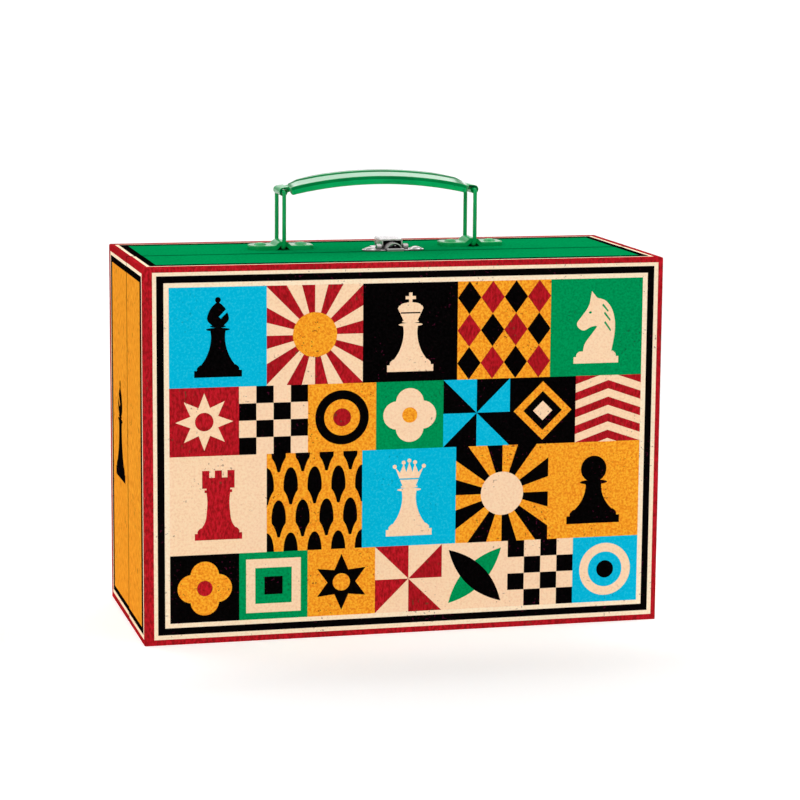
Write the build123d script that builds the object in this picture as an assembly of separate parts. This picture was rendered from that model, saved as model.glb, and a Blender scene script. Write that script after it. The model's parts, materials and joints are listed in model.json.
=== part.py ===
from build123d import *
import math
import os

os.makedirs("parts", exist_ok=True)

# ------------------------------------------------------------------
# Chess storage case: a paper-covered board case in two halves that
# meet at an upright seam and fold apart along the bottom. Millimetres,
# +Z up, +X to the right of the front face, -Y towards the viewer.
# The origin is at the middle of the base.
# ------------------------------------------------------------------

# case body
CASE_W = 300.0            # width along X
CASE_H = 212.0            # height along Z
CASE_D = 126.0            # depth along Y
SEAM_Y = -5.0             # plane where the two halves meet
SEAM_GAP = 0.15           # each rim stands back this far from the seam plane
BOARD_T = 2.0             # greyboard
PAPER_T = 0.3             # printed wrap, turn-in and lining
EDGE_R = 1.0              # outside corner radius of the wrapped board
TURN_IN = 14.0            # wrap folded over the rim and down inside

# inner neck, glued in the rear half and standing into the front half
NECK_T = 1.6
NECK_SLACK = 0.4
NECK_OUT = 8.5
NECK_IN = 20.0
NECK_FOOT_Z = 3.5

# carrying handle
HANDLE_Y = 20.0           # centre line of the handle
RING_X_LEFT = -56.0
RING_X_RIGHT = 58.2
WIRE_R = 1.15
RING_HALF_D = 10.6        # half depth of the wire ring, centre line
RING_Z_LOW = 1.65         # above the case top
RING_Z_HIGH = 33.6
RING_BEND = 1.7

# bracket
BR_L = 37.4
BR_HALF_D = 8.5
BR_H = 2.5
BR_CORNER = 5.2
BR_RIVET_X = 12.0
RIVET_SHANK_R = 1.75
RIVET_HEAD_R = 3.8
RIVET_HEAD_H = 1.3

# grip
GRIP_R = 244.0            # radius of the arched fold line
GRIP_FOLD_Z = 41.5        # fold line at mid length, above the case top
GRIP_HALF_W = 9.1
GRIP_CROWN = 3.9
GRIP_T = 0.9
GRIP_LIP = 3.0
GRIP_FLANGE_S = 51.5      # half length of the turned-down sides
EYE_R = 2.5
EYE_BORE_R = 1.4
EYE_HALF_L = 8.8

# latch
LATCH_X = 6.4
LATCH_T = 0.7
LATCH_FRONT_Y = -4.5
LATCH_BACK_Y = 20.5
LATCH_HALF_W = 9.3
LATCH_EAR_X = 13.7
LATCH_EAR_Y = 0.1
LATCH_EAR_R = 4.6
LATCH_RIVET_SHANK_R = 1.4
LATCH_RIVET_HEAD_R = 3.8
LATCH_RIVET_HEAD_H = 1.5
PIN_Y = 17.0
PIN_Z = 2.4
PIN_R = 0.8
PIN_PLAY = 0.07
CHEEK_Y = 2.2
CHEEK_R = 1.7
CHEEK_H = 3.5
LEVER_HALF_W = 6.2
LEVER_T = 0.8
LEVER_TOP = 6.2
LEVER_FRONT_Y = 1.8
LEVER_BACK_Y = 19.9

# catch tongue of the front half
TONGUE_HALF_W = 4.9
TONGUE_T = 0.6
TONGUE_Z = 0.95           # underside of the tongue over the latch plate
TONGUE_END_Y = 9.0
BEAD_START_Y = -4.0
BEAD_HALF_W = 4.6
BEAD_H = 3.1

HANDLE_X = (RING_X_LEFT + RING_X_RIGHT) / 2
HANDLE_HALF = (RING_X_RIGHT - RING_X_LEFT) / 2
INSET_BOARD = PAPER_T
INSET_CAVITY = PAPER_T + BOARD_T
INSET_LINED = 2 * PAPER_T + BOARD_T
XO = CASE_W / 2


def bx(x0, x1, y0, y1, z0, z1):
    x0, x1 = min(x0, x1), max(x0, x1)
    y0, y1 = min(y0, y1), max(y0, y1)
    z0, z1 = min(z0, z1), max(z0, z1)
    return Pos((x0 + x1) / 2, (y0 + y1) / 2, (z0 + z1) / 2) * Box(x1 - x0, y1 - y0, z1 - z0)


def cyl(axis, r, c, length):
    """Round bar of length centred at c along X, Y or Z."""
    body = Cylinder(r, length)
    if axis == "X":
        body = Rot(0, 90, 0) * body
    elif axis == "Y":
        body = Rot(90, 0, 0) * body
    return Pos(*c) * body


def dome(r, h, x, y, z):
    """Low round rivet head standing on the plane z."""
    big = (r * r + h * h) / (2 * h)
    ball = Pos(x, y, z + h - big) * Sphere(big)
    return ball & bx(x - r - 1, x + r + 1, y - r - 1, y + r + 1, z, z + h + 1)


def one(shape):
    s = shape.solids()
    assert len(s) == 1, "expected one solid, got %d" % len(s)
    return s[0]


nodes = {}


# ------------------------------------------------------------------
# the two half shells
# ------------------------------------------------------------------
def rounded_block(inset, y_rim, y_face, radius):
    """Outer block of a half, its top and outer-face edges rounded."""
    z0 = 0.0 if inset == 0 else inset
    b = bx(-XO + inset, XO - inset, y_rim, y_face, z0, CASE_H - inset)
    top = b.edges().filter_by(Axis.Y).group_by(Axis.Z)[-1]
    face_edges = [e for e in b.edges()
                  if abs(e.center().Y - y_face) < 1e-6 and e.center().Z > z0 + 1]
    return fillet(list(top) + face_edges, radius)


def half_shell(prefix, face_name, y_rim, y_face):
    d = 1.0 if y_face > y_rim else -1.0

    def y(t):
        return y_rim + d * t

    depth = abs(y_face - y_rim)
    outer = rounded_block(0.0, y(0), y_face, EDGE_R)
    board = rounded_block(INSET_BOARD, y(PAPER_T), y(depth - PAPER_T), EDGE_R - PAPER_T)
    cav = bx(-XO + INSET_CAVITY, XO - INSET_CAVITY, y(-5), y(depth - INSET_CAVITY),
             INSET_CAVITY, CASE_H - INSET_CAVITY)
    lined = bx(-XO + INSET_LINED, XO - INSET_LINED, y(-5), y(depth - INSET_LINED),
               INSET_LINED, CASE_H - INSET_LINED)
    cloth = bx(-XO + PAPER_T, XO - PAPER_T, y(0), y(depth - PAPER_T), 0, PAPER_T)

    tray = board - cav
    ci = XO - INSET_CAVITY
    far = 400.0
    y_in = y(depth - INSET_CAVITY)
    panels = {
        face_name: tray & bx(-far, far, y_in, y(depth + 5), -1, far),
        "left": tray & bx(-far, -ci, y(-5), y_in, -1, far),
        "right": tray & bx(ci, far, y(-5), y_in, -1, far),
        "top": tray & bx(-ci, ci, y(-5), y_in, CASE_H - INSET_CAVITY, far),
        "bottom": tray & bx(-ci, ci, y(-5), y_in, -1, INSET_CAVITY),
    }
    skin_layer = cav - lined
    wrap = (outer - board - cav - cloth) + (skin_layer & bx(-far, far, y(0), y(TURN_IN), -1, far))
    lining = skin_layer & bx(-far, far, y(TURN_IN), y(depth), -1, far)
    return {k: one(v) for k, v in panels.items()}, one(wrap), one(lining), one(cloth)


REAR_RIM = SEAM_Y + SEAM_GAP
FRONT_RIM = SEAM_Y - SEAM_GAP
rear_panels, rear_wrap, rear_lining, rear_cloth = half_shell("rear", "back", REAR_RIM, CASE_D / 2)
front_panels, front_wrap, front_lining, front_cloth = half_shell("front", "face", FRONT_RIM, -CASE_D / 2)

# ------------------------------------------------------------------
# neck: three strips inside the rear rim that guide the front half on
# ------------------------------------------------------------------
nx = XO - INSET_LINED
y_tip = SEAM_Y - NECK_OUT
y_root = SEAM_Y + NECK_IN
z_top = CASE_H - INSET_LINED


def lead_in(s, face_filter):
    e = [e for e in s.edges() if abs(e.center().Y - y_tip) < 1e-6 and face_filter(e.center())]
    return chamfer(e, 0.5)


def neck_side(sx):
    glued = bx(sx * nx, sx * (nx - NECK_T), REAR_RIM, y_root, NECK_FOOT_Z, z_top)
    tip = bx(sx * (nx - NECK_SLACK), sx * (nx - NECK_T), y_tip, REAR_RIM, NECK_FOOT_Z, z_top - NECK_SLACK)
    tip = lead_in(tip, lambda c: abs(abs(c.X) - (nx - NECK_SLACK)) < 1e-6)
    return one(glued + tip)


neck_left = neck_side(-1)
neck_right = neck_side(1)
nxi = nx - NECK_T
neck_top = bx(-nxi, nxi, REAR_RIM, y_root, z_top - NECK_T, z_top)
tip = bx(-nxi, nxi, y_tip, REAR_RIM, z_top - NECK_T, z_top - NECK_SLACK)
neck_top = neck_top + lead_in(tip, lambda c: abs(c.Z - (z_top - NECK_SLACK)) < 1e-6)

# ------------------------------------------------------------------
# handle brackets, their rivets and inside washers
# ------------------------------------------------------------------
Z0 = CASE_H


def bracket(xc):
    plan = RectangleRounded(BR_L, 2 * BR_HALF_D, BR_CORNER)
    pan = extrude(plan, BR_H)
    pan = fillet(pan.edges().group_by(Axis.Z)[-1], 0.8)
    # outside of the raised loop, a rounded tent along Y
    k = 0.95
    pts = [(-6.3, 6.94 - k * 6.3), (0, 6.94), (6.3, 6.94 - k * 6.3)]
    tent2d = make_face(Polyline(*pts, close=True))
    apex = [v for v in tent2d.vertices() if v.Y > 6.0]
    tent2d = fillet(apex, 5.0)
    tent = extrude(Plane.XZ * tent2d, BR_HALF_D, both=True)
    tunnel2d = make_face(Polyline((-3.9, -0.5), (-3.85, 0.0), (0, 3.7), (3.85, 0.0), (3.9, -0.5), close=True))
    tv = [v for v in tunnel2d.vertices() if v.Y > 3.0]
    tunnel2d = fillet(tv, 1.3)
    tunnel = extrude(Plane.XZ * tunnel2d, BR_HALF_D + 1, both=True)
    body = pan + tent - tunnel
    for sx in (-1, 1):
        pocket = bx(sx * 5.2, sx * (BR_L / 2 - 1.0), -BR_HALF_D + 1.0, BR_HALF_D - 1.0, -0.5, 1.5)
        pocket = fillet(pocket.edges().filter_by(Axis.Z), 2.0)
        pocket -= cyl("Z", 3.2, (sx * BR_RIVET_X, 0, 0.3), 3)
        body -= pocket
        body -= cyl("Z", RIVET_SHANK_R, (sx * BR_RIVET_X, 0, 1), 6)
    return Pos(xc, HANDLE_Y, Z0) * one(body)


bracket_left = bracket(RING_X_LEFT)
bracket_right = bracket(RING_X_RIGHT)

br_rivets, br_washers, br_holes = [], [], []
for xc in (RING_X_LEFT, RING_X_RIGHT):
    for sx in (-1, 1):
        x = xc + sx * BR_RIVET_X
        zi = -INSET_LINED
        shank = cyl("Z", RIVET_SHANK_R, (x, HANDLE_Y, Z0 + (BR_H + zi - 0.8) / 2), BR_H - zi + 0.8)
        head = dome(RIVET_HEAD_R, RIVET_HEAD_H, x, HANDLE_Y, Z0 + BR_H)
        tail = Pos(x, HANDLE_Y, Z0 + zi - 1.2) * Cylinder(2.8, 0.8)
        br_rivets.append(one(shank + head + tail))
        washer = Pos(x, HANDLE_Y, Z0 + zi - 0.4) * (Cylinder(4.5, 0.8) - Cylinder(RIVET_SHANK_R, 2))
        br_washers.append(one(washer))
        br_holes.append(cyl("Z", RIVET_SHANK_R, (x, HANDLE_Y, Z0 - 2), 8))


# ------------------------------------------------------------------
# wire rings
# ------------------------------------------------------------------
def quarter_bend(yc, zc, sy, sz):
    """Quarter of a torus that turns the wire from Y to Z at one corner."""
    ang = {(1, 1): 0, (-1, 1): 90, (-1, -1): 180, (1, -1): 270}[(sy, sz)]
    start = Vector(0, math.cos(math.radians(ang)), math.sin(math.radians(ang)))
    pl = Plane(origin=Vector(0, yc, zc) + start * RING_BEND,
               z_dir=Vector(1, 0, 0).cross(start))
    prof = pl * Circle(WIRE_R)
    return revolve(prof, Axis((0, yc, zc), (1, 0, 0)), revolution_arc=90)


def wire_ring(xc):
    hy = RING_HALF_D
    z0, z1 = RING_Z_LOW, RING_Z_HIGH
    b = RING_BEND
    body = cyl("Y", WIRE_R, (0, 0, z0), 2 * (hy - b)) + cyl("Y", WIRE_R, (0, 0, z1), 2 * (hy - b))
    for sy in (-1, 1):
        body += cyl("Z", WIRE_R, (0, sy * hy, (z0 + z1) / 2), z1 - z0 - 2 * b)
        body += quarter_bend(sy * (hy - b), z1 - b, sy, 1)
        body += quarter_bend(sy * (hy - b), z0 + b, sy, -1)
    return Pos(xc, HANDLE_Y, Z0) * one(body)


ring_left = wire_ring(RING_X_LEFT)
ring_right = wire_ring(RING_X_RIGHT)

# ------------------------------------------------------------------
# grip: arched pressed channel, its ends closed down to rolled eyes
# ------------------------------------------------------------------
gz = GRIP_FOLD_Z
hw, hi = GRIP_HALF_W, GRIP_HALF_W - GRIP_T
outer_arc = ThreePointArc((-hw, gz), (0, gz + GRIP_CROWN), (hw, gz))
inner_arc = ThreePointArc((hi, gz), (0, gz + GRIP_CROWN - GRIP_T), (-hi, gz))
channel2d = make_face([
    outer_arc, Line((hw, gz), (hw, gz - GRIP_LIP)), Line((hw, gz - GRIP_LIP), (hi, gz - GRIP_LIP)),
    Line((hi, gz - GRIP_LIP), (hi, gz)), inner_arc, Line((-hi, gz), (-hi, gz - GRIP_LIP)),
    Line((-hi, gz - GRIP_LIP), (-hw, gz - GRIP_LIP)), Line((-hw, gz - GRIP_LIP), (-hw, gz)),
])
band2d = make_face([outer_arc, Line((hw, gz), (hi, gz)), inner_arc, Line((-hi, gz), (-hw, gz))])
arch_axis = Axis((0, 0, gz - GRIP_R), (0, 1, 0))
half_angle = math.degrees(GRIP_FLANGE_S / GRIP_R)
channel_mid = (Plane.YZ * channel2d)
channel_start = channel_mid.rotate(arch_axis, -half_angle)
grip = revolve(channel_start, arch_axis, revolution_arc=2 * half_angle)
ey_top = RING_Z_HIGH + EYE_R
for sx in (-1, 1):
    band = (Plane.YZ * band2d).rotate(arch_axis, sx * half_angle)
    fw = EYE_HALF_L
    flat_top = ThreePointArc((-fw, ey_top - 0.04), (0, ey_top), (fw, ey_top - 0.04))
    flat_bot = ThreePointArc((fw - 0.02, ey_top - 1.02), (0, ey_top - 0.98), (-fw + 0.02, ey_top - 1.02))
    flat2d = make_face([flat_top, Line((fw, ey_top - 0.04), (fw - 0.02, ey_top - 1.02)), flat_bot,
                        Line((-fw + 0.02, ey_top - 1.02), (-fw, ey_top - 0.04))])
    flat = Pos(sx * HANDLE_HALF, 0, 0) * (Plane.YZ * flat2d)
    neck_sheet = loft([band.faces()[0], flat.faces()[0]])
    grip = grip + neck_sheet
    grip = grip + cyl("Y", EYE_R, (sx * HANDLE_HALF, 0, RING_Z_HIGH), 2 * EYE_HALF_L)
for sx in (-1, 1):
    grip = grip - cyl("Y", EYE_BORE_R, (sx * HANDLE_HALF, 0, RING_Z_HIGH), 2 * EYE_HALF_L + 4)
grip = Pos(HANDLE_X, HANDLE_Y, Z0) * one(grip)

# ------------------------------------------------------------------
# latch on the rear half
# ------------------------------------------------------------------
plate = bx(-LATCH_HALF_W, LATCH_HALF_W, LATCH_FRONT_Y, LATCH_BACK_Y, 0, LATCH_T)
plate = fillet(plate.edges().filter_by(Axis.Z).group_by(Axis.Y)[-1], 2.0)
plate = fillet(plate.edges().filter_by(Axis.X).group_by(Axis.Y)[0].group_by(Axis.Z)[-1], 0.45)
for sx in (-1, 1):
    plate += Pos(sx * LATCH_EAR_X, LATCH_EAR_Y, LATCH_T / 2) * Cylinder(LATCH_EAR_R, LATCH_T)
    plate += bx(sx * (LATCH_HALF_W - 1), sx * LATCH_EAR_X, LATCH_EAR_Y - LATCH_EAR_R,
                LATCH_EAR_Y + LATCH_EAR_R, 0, LATCH_T)
    # lug turned up inside the lever, which carries the pin
    gx1 = LEVER_HALF_W - LEVER_T - 0.25
    gx0 = gx1 - 0.8
    plate += cyl("X", PIN_R + 0.75, (sx * (gx0 + gx1) / 2, PIN_Y, PIN_Z), gx1 - gx0)
    plate += bx(sx * gx0, sx * gx1, PIN_Y - 1.0, PIN_Y + 1.0, 0, PIN_Z)
    # rounded cheek beside the mouth of the lever
    kx0, kx1 = LEVER_HALF_W + 0.35, LATCH_HALF_W
    plate += cyl("X", CHEEK_R, (sx * (kx0 + kx1) / 2, CHEEK_Y, CHEEK_H - CHEEK_R), kx1 - kx0)
    plate += bx(sx * kx0, sx * kx1, CHEEK_Y - CHEEK_R, CHEEK_Y + CHEEK_R, 0, CHEEK_H - CHEEK_R)
for sx in (-1, 1):
    plate -= cyl("Z", LATCH_RIVET_SHANK_R, (sx * LATCH_EAR_X, LATCH_EAR_Y, 0), 6)
plate -= cyl("X", PIN_R, (0, PIN_Y, PIN_Z), 4 * LATCH_HALF_W)
latch_base = Pos(LATCH_X, 0, Z0) * one(plate)

latch_pin = Pos(LATCH_X, 0, Z0) * one(cyl("X", PIN_R, (0, PIN_Y, PIN_Z), 2 * LEVER_HALF_W + 0.8))

# lever: hood with two side walls, open at the front, a heel at the back
lv = bx(-LEVER_HALF_W, LEVER_HALF_W, LEVER_FRONT_Y, LEVER_BACK_Y, 1.0, LEVER_TOP)
ledges = [e for e in lv.edges() if e.center().Z > LEVER_TOP - 0.01 and e.center().Y > LEVER_FRONT_Y + 0.5]
lv = fillet(ledges, 0.7)
lv -= bx(-LEVER_HALF_W + LEVER_T, LEVER_HALF_W - LEVER_T, LEVER_FRONT_Y - 1, LEVER_BACK_Y - LEVER_T,
         -1, LEVER_TOP - LEVER_T)
# the side walls end in a round boss about the pin and the heel stays higher
heel_z = PIN_Z - 0.1
boss_r = 1.4
lv -= bx(-20, 20, PIN_Y, LEVER_BACK_Y + 1, -1, PIN_Z - 0.1)
lv -= bx(-20, 20, PIN_Y - boss_r, PIN_Y, -1, PIN_Z)
for sx in (-1, 1):
    lv += cyl("X", boss_r, (sx * (LEVER_HALF_W - LEVER_T / 2), PIN_Y, PIN_Z), LEVER_T)
lv -= cyl("X", PIN_R + PIN_PLAY, (0, PIN_Y, PIN_Z), 4 * LEVER_HALF_W)
latch_lever = Pos(LATCH_X, 0, Z0) * one(lv)

# flat spring under the lever's heel
sp = make_face(Polyline((9.5, LATCH_T), (13.2, LATCH_T), (19.4, 1.5), (19.4, 1.8), (13.1, LATCH_T + 0.3),
                        (9.5, LATCH_T + 0.3), close=True))
latch_spring = Pos(LATCH_X, 0, Z0) * one(extrude(Plane.YZ * sp, 2.4, both=True))

lt_rivets, lt_washers, lt_holes = [], [], []
for sx in (-1, 1):
    x, yy = LATCH_X + sx * LATCH_EAR_X, LATCH_EAR_Y
    zi = -INSET_LINED - NECK_T
    shank = cyl("Z", LATCH_RIVET_SHANK_R, (x, yy, Z0 + (LATCH_T + zi - 0.8) / 2), LATCH_T - zi + 0.8)
    head = dome(LATCH_RIVET_HEAD_R, LATCH_RIVET_HEAD_H, x, yy, Z0 + LATCH_T)
    tail = Pos(x, yy, Z0 + zi - 1.2) * Cylinder(2.3, 0.8)
    lt_rivets.append(one(shank + head + tail))
    lt_washers.append(one(Pos(x, yy, Z0 + zi - 0.4) * (Cylinder(3.6, 0.8) - Cylinder(LATCH_RIVET_SHANK_R, 2))))
    lt_holes.append(cyl("Z", LATCH_RIVET_SHANK_R, (x, yy, Z0 - 2), 10))

# ------------------------------------------------------------------
# catch tongue of the front half: under the paper, up at the seam and
# back under the lever, with a raised bead
# ------------------------------------------------------------------
tz = TONGUE_Z
y_rise = SEAM_Y - 1.0
root_z1 = -PAPER_T
root_z0 = -PAPER_T - TONGUE_T
tongue = bx(-TONGUE_HALF_W, TONGUE_HALF_W, -24.0, y_rise, root_z0, root_z1)
tongue += bx(-TONGUE_HALF_W, TONGUE_HALF_W, y_rise - TONGUE_T, y_rise, root_z0, tz + TONGUE_T)
strap = bx(-TONGUE_HALF_W, TONGUE_HALF_W, y_rise - TONGUE_T, TONGUE_END_Y, tz, tz + TONGUE_T)
strap -= bx(-BEAD_HALF_W + TONGUE_T, BEAD_HALF_W - TONGUE_T, BEAD_START_Y, TONGUE_END_Y + 1, -1, 3)
big = (BEAD_HALF_W ** 2 + BEAD_H ** 2) / (2 * BEAD_H)
zc = tz + TONGUE_T + BEAD_H - big
yl = TONGUE_END_Y - BEAD_START_Y
ym = (TONGUE_END_Y + BEAD_START_Y) / 2
bead = cyl("Y", big, (0, ym, zc), yl) - cyl("Y", big - TONGUE_T, (0, ym, zc), yl + 1)
bead &= bx(-20, 20, -50, 50, tz, 20)
tongue += strap + bead
bend = [e for e in tongue.edges() if abs(e.center().Y - (y_rise - TONGUE_T)) < 0.01 and abs(e.center().Z - tz - TONGUE_T) < 0.01]
tongue = fillet(bend, 0.5)
for yp in (-12.0, -20.0):
    tongue += bx(-0.5, 0.5, yp - 1.0, yp + 1.0, root_z0 - 1.0, root_z0)
tongue = Pos(LATCH_X, 0, Z0) * one(tongue)

pocket = Pos(LATCH_X, 0, Z0) * bx(-TONGUE_HALF_W, TONGUE_HALF_W, -24.0, 5, root_z0, 5)
prongs = Pos(LATCH_X, 0, Z0) * (bx(-0.5, 0.5, -13, -11, root_z0 - 1.0, 0) + bx(-0.5, 0.5, -21, -19, root_z0 - 1.0, 0))
slit = Pos(LATCH_X, 0, Z0) * bx(-TONGUE_HALF_W, TONGUE_HALF_W, y_rise - TONGUE_T, y_rise, -2, 2)
front_panels["top"] = one(front_panels["top"] - pocket - prongs)
front_wrap = one(front_wrap - slit)

# rivet holes through the rear top
for hole in br_holes + lt_holes:
    rear_panels["top"] = rear_panels["top"] - hole
    rear_wrap = rear_wrap - hole
    rear_lining = rear_lining - hole
    neck_top = neck_top - hole
rear_panels["top"] = one(rear_panels["top"])
rear_wrap = one(rear_wrap)
rear_lining = one(rear_lining)
neck_top = one(neck_top)

# ------------------------------------------------------------------
# named pieces
# ------------------------------------------------------------------
nodes["rear_back_board"] = rear_panels["back"]
nodes["rear_left_board"] = rear_panels["left"]
nodes["rear_right_board"] = rear_panels["right"]
nodes["rear_top_board"] = rear_panels["top"]
nodes["rear_bottom_board"] = rear_panels["bottom"]
nodes["front_face_board"] = front_panels["face"]
nodes["front_left_board"] = front_panels["left"]
nodes["front_right_board"] = front_panels["right"]
nodes["front_top_board"] = front_panels["top"]
nodes["front_bottom_board"] = front_panels["bottom"]
nodes["rear_wrap"] = rear_wrap
nodes["front_wrap"] = front_wrap
nodes["rear_lining"] = rear_lining
nodes["front_lining"] = front_lining
nodes["base_cloth_rear_half"] = rear_cloth
nodes["base_cloth_front_half"] = front_cloth
nodes["neck_left"] = neck_left
nodes["neck_right"] = neck_right
nodes["neck_top"] = neck_top
nodes["handle_bracket_left"] = bracket_left
nodes["handle_bracket_right"] = bracket_right
nodes["bracket_rivets"] = Compound(children=br_rivets)
nodes["bracket_washers"] = Compound(children=br_washers)
nodes["handle_ring_left"] = ring_left
nodes["handle_ring_right"] = ring_right
nodes["handle_grip"] = grip
nodes["latch_base"] = latch_base
nodes["latch_rivets"] = Compound(children=lt_rivets)
nodes["latch_washers"] = Compound(children=lt_washers)
nodes["latch_pin"] = latch_pin
nodes["latch_lever"] = latch_lever
nodes["latch_spring"] = latch_spring
nodes["catch_tongue"] = tongue

for name, shape in nodes.items():
    shape.label = name
    export_step(shape, os.path.join("parts", name + ".step"))
    print(name, round(shape.volume, 2))
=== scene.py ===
import json
import math

import bmesh
import bpy
from mathutils import Matrix, Vector, geometry


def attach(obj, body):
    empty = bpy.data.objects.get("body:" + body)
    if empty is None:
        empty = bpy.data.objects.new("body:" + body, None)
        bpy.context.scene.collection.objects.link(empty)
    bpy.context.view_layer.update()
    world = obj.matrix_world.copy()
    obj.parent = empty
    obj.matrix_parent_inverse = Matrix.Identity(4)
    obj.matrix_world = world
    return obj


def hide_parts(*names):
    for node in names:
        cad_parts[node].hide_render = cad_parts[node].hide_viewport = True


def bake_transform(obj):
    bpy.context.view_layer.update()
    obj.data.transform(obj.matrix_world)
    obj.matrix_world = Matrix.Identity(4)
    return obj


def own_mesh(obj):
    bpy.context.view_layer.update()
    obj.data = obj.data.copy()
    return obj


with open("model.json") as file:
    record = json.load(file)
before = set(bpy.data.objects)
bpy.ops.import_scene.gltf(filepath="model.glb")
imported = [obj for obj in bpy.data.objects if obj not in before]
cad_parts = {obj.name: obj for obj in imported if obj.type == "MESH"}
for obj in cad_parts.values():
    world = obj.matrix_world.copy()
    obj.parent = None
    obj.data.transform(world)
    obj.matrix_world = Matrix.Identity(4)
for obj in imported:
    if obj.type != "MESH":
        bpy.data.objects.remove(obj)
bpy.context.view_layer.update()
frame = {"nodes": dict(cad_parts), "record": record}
scene = bpy.context.scene
MM = 0.001
NODES = frame["nodes"]

# ----------------------------------------------------------------------
# sizes of the case, in millimetres, as in the frame
# ----------------------------------------------------------------------
XO = 150.0
CASE_H = 212.0
Y_FRONT, Y_BACK = -63.0, 63.0
RIM_FRONT, RIM_REAR = -5.15, -4.85
SEAM_Y = -5.0
EDGE_R = 1.0              # outside corners of the wrapped board
RIM_R = 0.75              # where the paper turns over the rim
INSET_LINED = 2.6
TURN_IN = 14.0
LATCH_X = 6.4
HANDLE_X, HANDLE_Y = 1.1, 20.0
HANDLE_HALF = 57.1


def lin(rgb):
    out = []
    for c in rgb:
        c /= 255.0
        out.append(c / 12.92 if c <= 0.04045 else ((c + 0.055) / 1.055) ** 2.4)
    return out[0], out[1], out[2], 1.0


# ----------------------------------------------------------------------
# node helpers
# ----------------------------------------------------------------------
class Tree:
    def __init__(self, name):
        self.mat = bpy.data.materials.new(name)
        self.mat.use_nodes = True
        self.nt = self.mat.node_tree
        self.nt.nodes.clear()
        self.out = self.new("ShaderNodeOutputMaterial")
        self.bsdf = self.new("ShaderNodeBsdfPrincipled")
        self.link(self.bsdf.outputs[0], self.out.inputs["Surface"])
        self.obj = self.new("ShaderNodeTexCoord").outputs["Object"]

    def new(self, kind, **attrs):
        n = self.nt.nodes.new(kind)
        for k, v in attrs.items():
            setattr(n, k, v)
        return n

    def link(self, a, b):
        self.nt.links.new(a, b)

    def put(self, socket, value):
        if isinstance(value, bpy.types.NodeSocket):
            self.link(value, socket)
        else:
            socket.default_value = value

    def scaled(self, sx, sy, sz, rot=(0, 0, 0)):
        m = self.new("ShaderNodeMapping")
        m.inputs["Scale"].default_value = (sx, sy, sz)
        m.inputs["Rotation"].default_value = rot
        self.link(self.obj, m.inputs["Vector"])
        return m.outputs[0]

    def noise(self, scale, detail=2.0, rough=0.5, vector=None, distortion=0.0):
        n = self.new("ShaderNodeTexNoise")
        n.inputs["Scale"].default_value = scale
        n.inputs["Detail"].default_value = detail
        n.inputs["Roughness"].default_value = rough
        n.inputs["Distortion"].default_value = distortion
        self.link(vector or self.obj, n.inputs["Vector"])
        return n.outputs["Fac"]

    def voronoi(self, scale, vector=None, feature="F1", out="Distance", randomness=1.0):
        n = self.new("ShaderNodeTexVoronoi", feature=feature)
        n.inputs["Scale"].default_value = scale
        n.inputs["Randomness"].default_value = randomness
        self.link(vector or self.obj, n.inputs["Vector"])
        return n.outputs[out]

    def step(self, value, lo, hi, to_lo=0.0, to_hi=1.0, smooth=True):
        n = self.new("ShaderNodeMapRange")
        n.interpolation_type = "SMOOTHSTEP" if smooth else "LINEAR"
        n.inputs["From Min"].default_value = lo
        n.inputs["From Max"].default_value = hi
        n.inputs["To Min"].default_value = to_lo
        n.inputs["To Max"].default_value = to_hi
        self.link(value, n.inputs["Value"])
        return n.outputs["Result"]

    def math(self, op, a, b=None, c=None):
        n = self.new("ShaderNodeMath", operation=op)
        self.put(n.inputs[0], a)
        if b is not None:
            self.put(n.inputs[1], b)
        if c is not None:
            self.put(n.inputs[2], c)
        return n.outputs[0]

    def mix(self, fac, a, b, blend="MIX"):
        n = self.new("ShaderNodeMix", data_type="RGBA", blend_type=blend)
        n.clamp_factor = True
        self.put(n.inputs["Factor"], fac)
        ins = [s for s in n.inputs if s.type == "RGBA"]
        self.put(ins[0], a)
        self.put(ins[1], b)
        return [s for s in n.outputs if s.type == "RGBA"][0]

    def bump(self, height, distance, strength=1.0, normal=None):
        n = self.new("ShaderNodeBump")
        n.inputs["Strength"].default_value = strength
        n.inputs["Distance"].default_value = distance
        self.link(height, n.inputs["Height"])
        if normal is not None:
            self.link(normal, n.inputs["Normal"])
        return n.outputs[0]

    def split(self, vector=None):
        n = self.new("ShaderNodeSeparateXYZ")
        self.link(vector or self.obj, n.inputs[0])
        return n.outputs[0], n.outputs[1], n.outputs[2]

    def set(self, name, value):
        self.put(self.bsdf.inputs[name], value)


def box_edge_distance(t):
    """Distance in metres from the nearest outside edge of the case, for a point on its surface."""
    x, y, z = t.split()
    dx = t.math("SUBTRACT", XO * MM, t.math("ABSOLUTE", x))
    dy = t.math("SUBTRACT", Y_BACK * MM, t.math("ABSOLUTE", y))
    dz = t.math("MINIMUM", t.math("ABSOLUTE", t.math("SUBTRACT", CASE_H * MM, z)), t.math("ABSOLUTE", z))
    lo = t.math("MINIMUM", dx, dy)
    hi = t.math("MAXIMUM", dx, dy)
    return t.math("MAXIMUM", lo, t.math("MINIMUM", hi, dz))


PAPER_CORE = lin((214, 203, 186))


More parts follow.
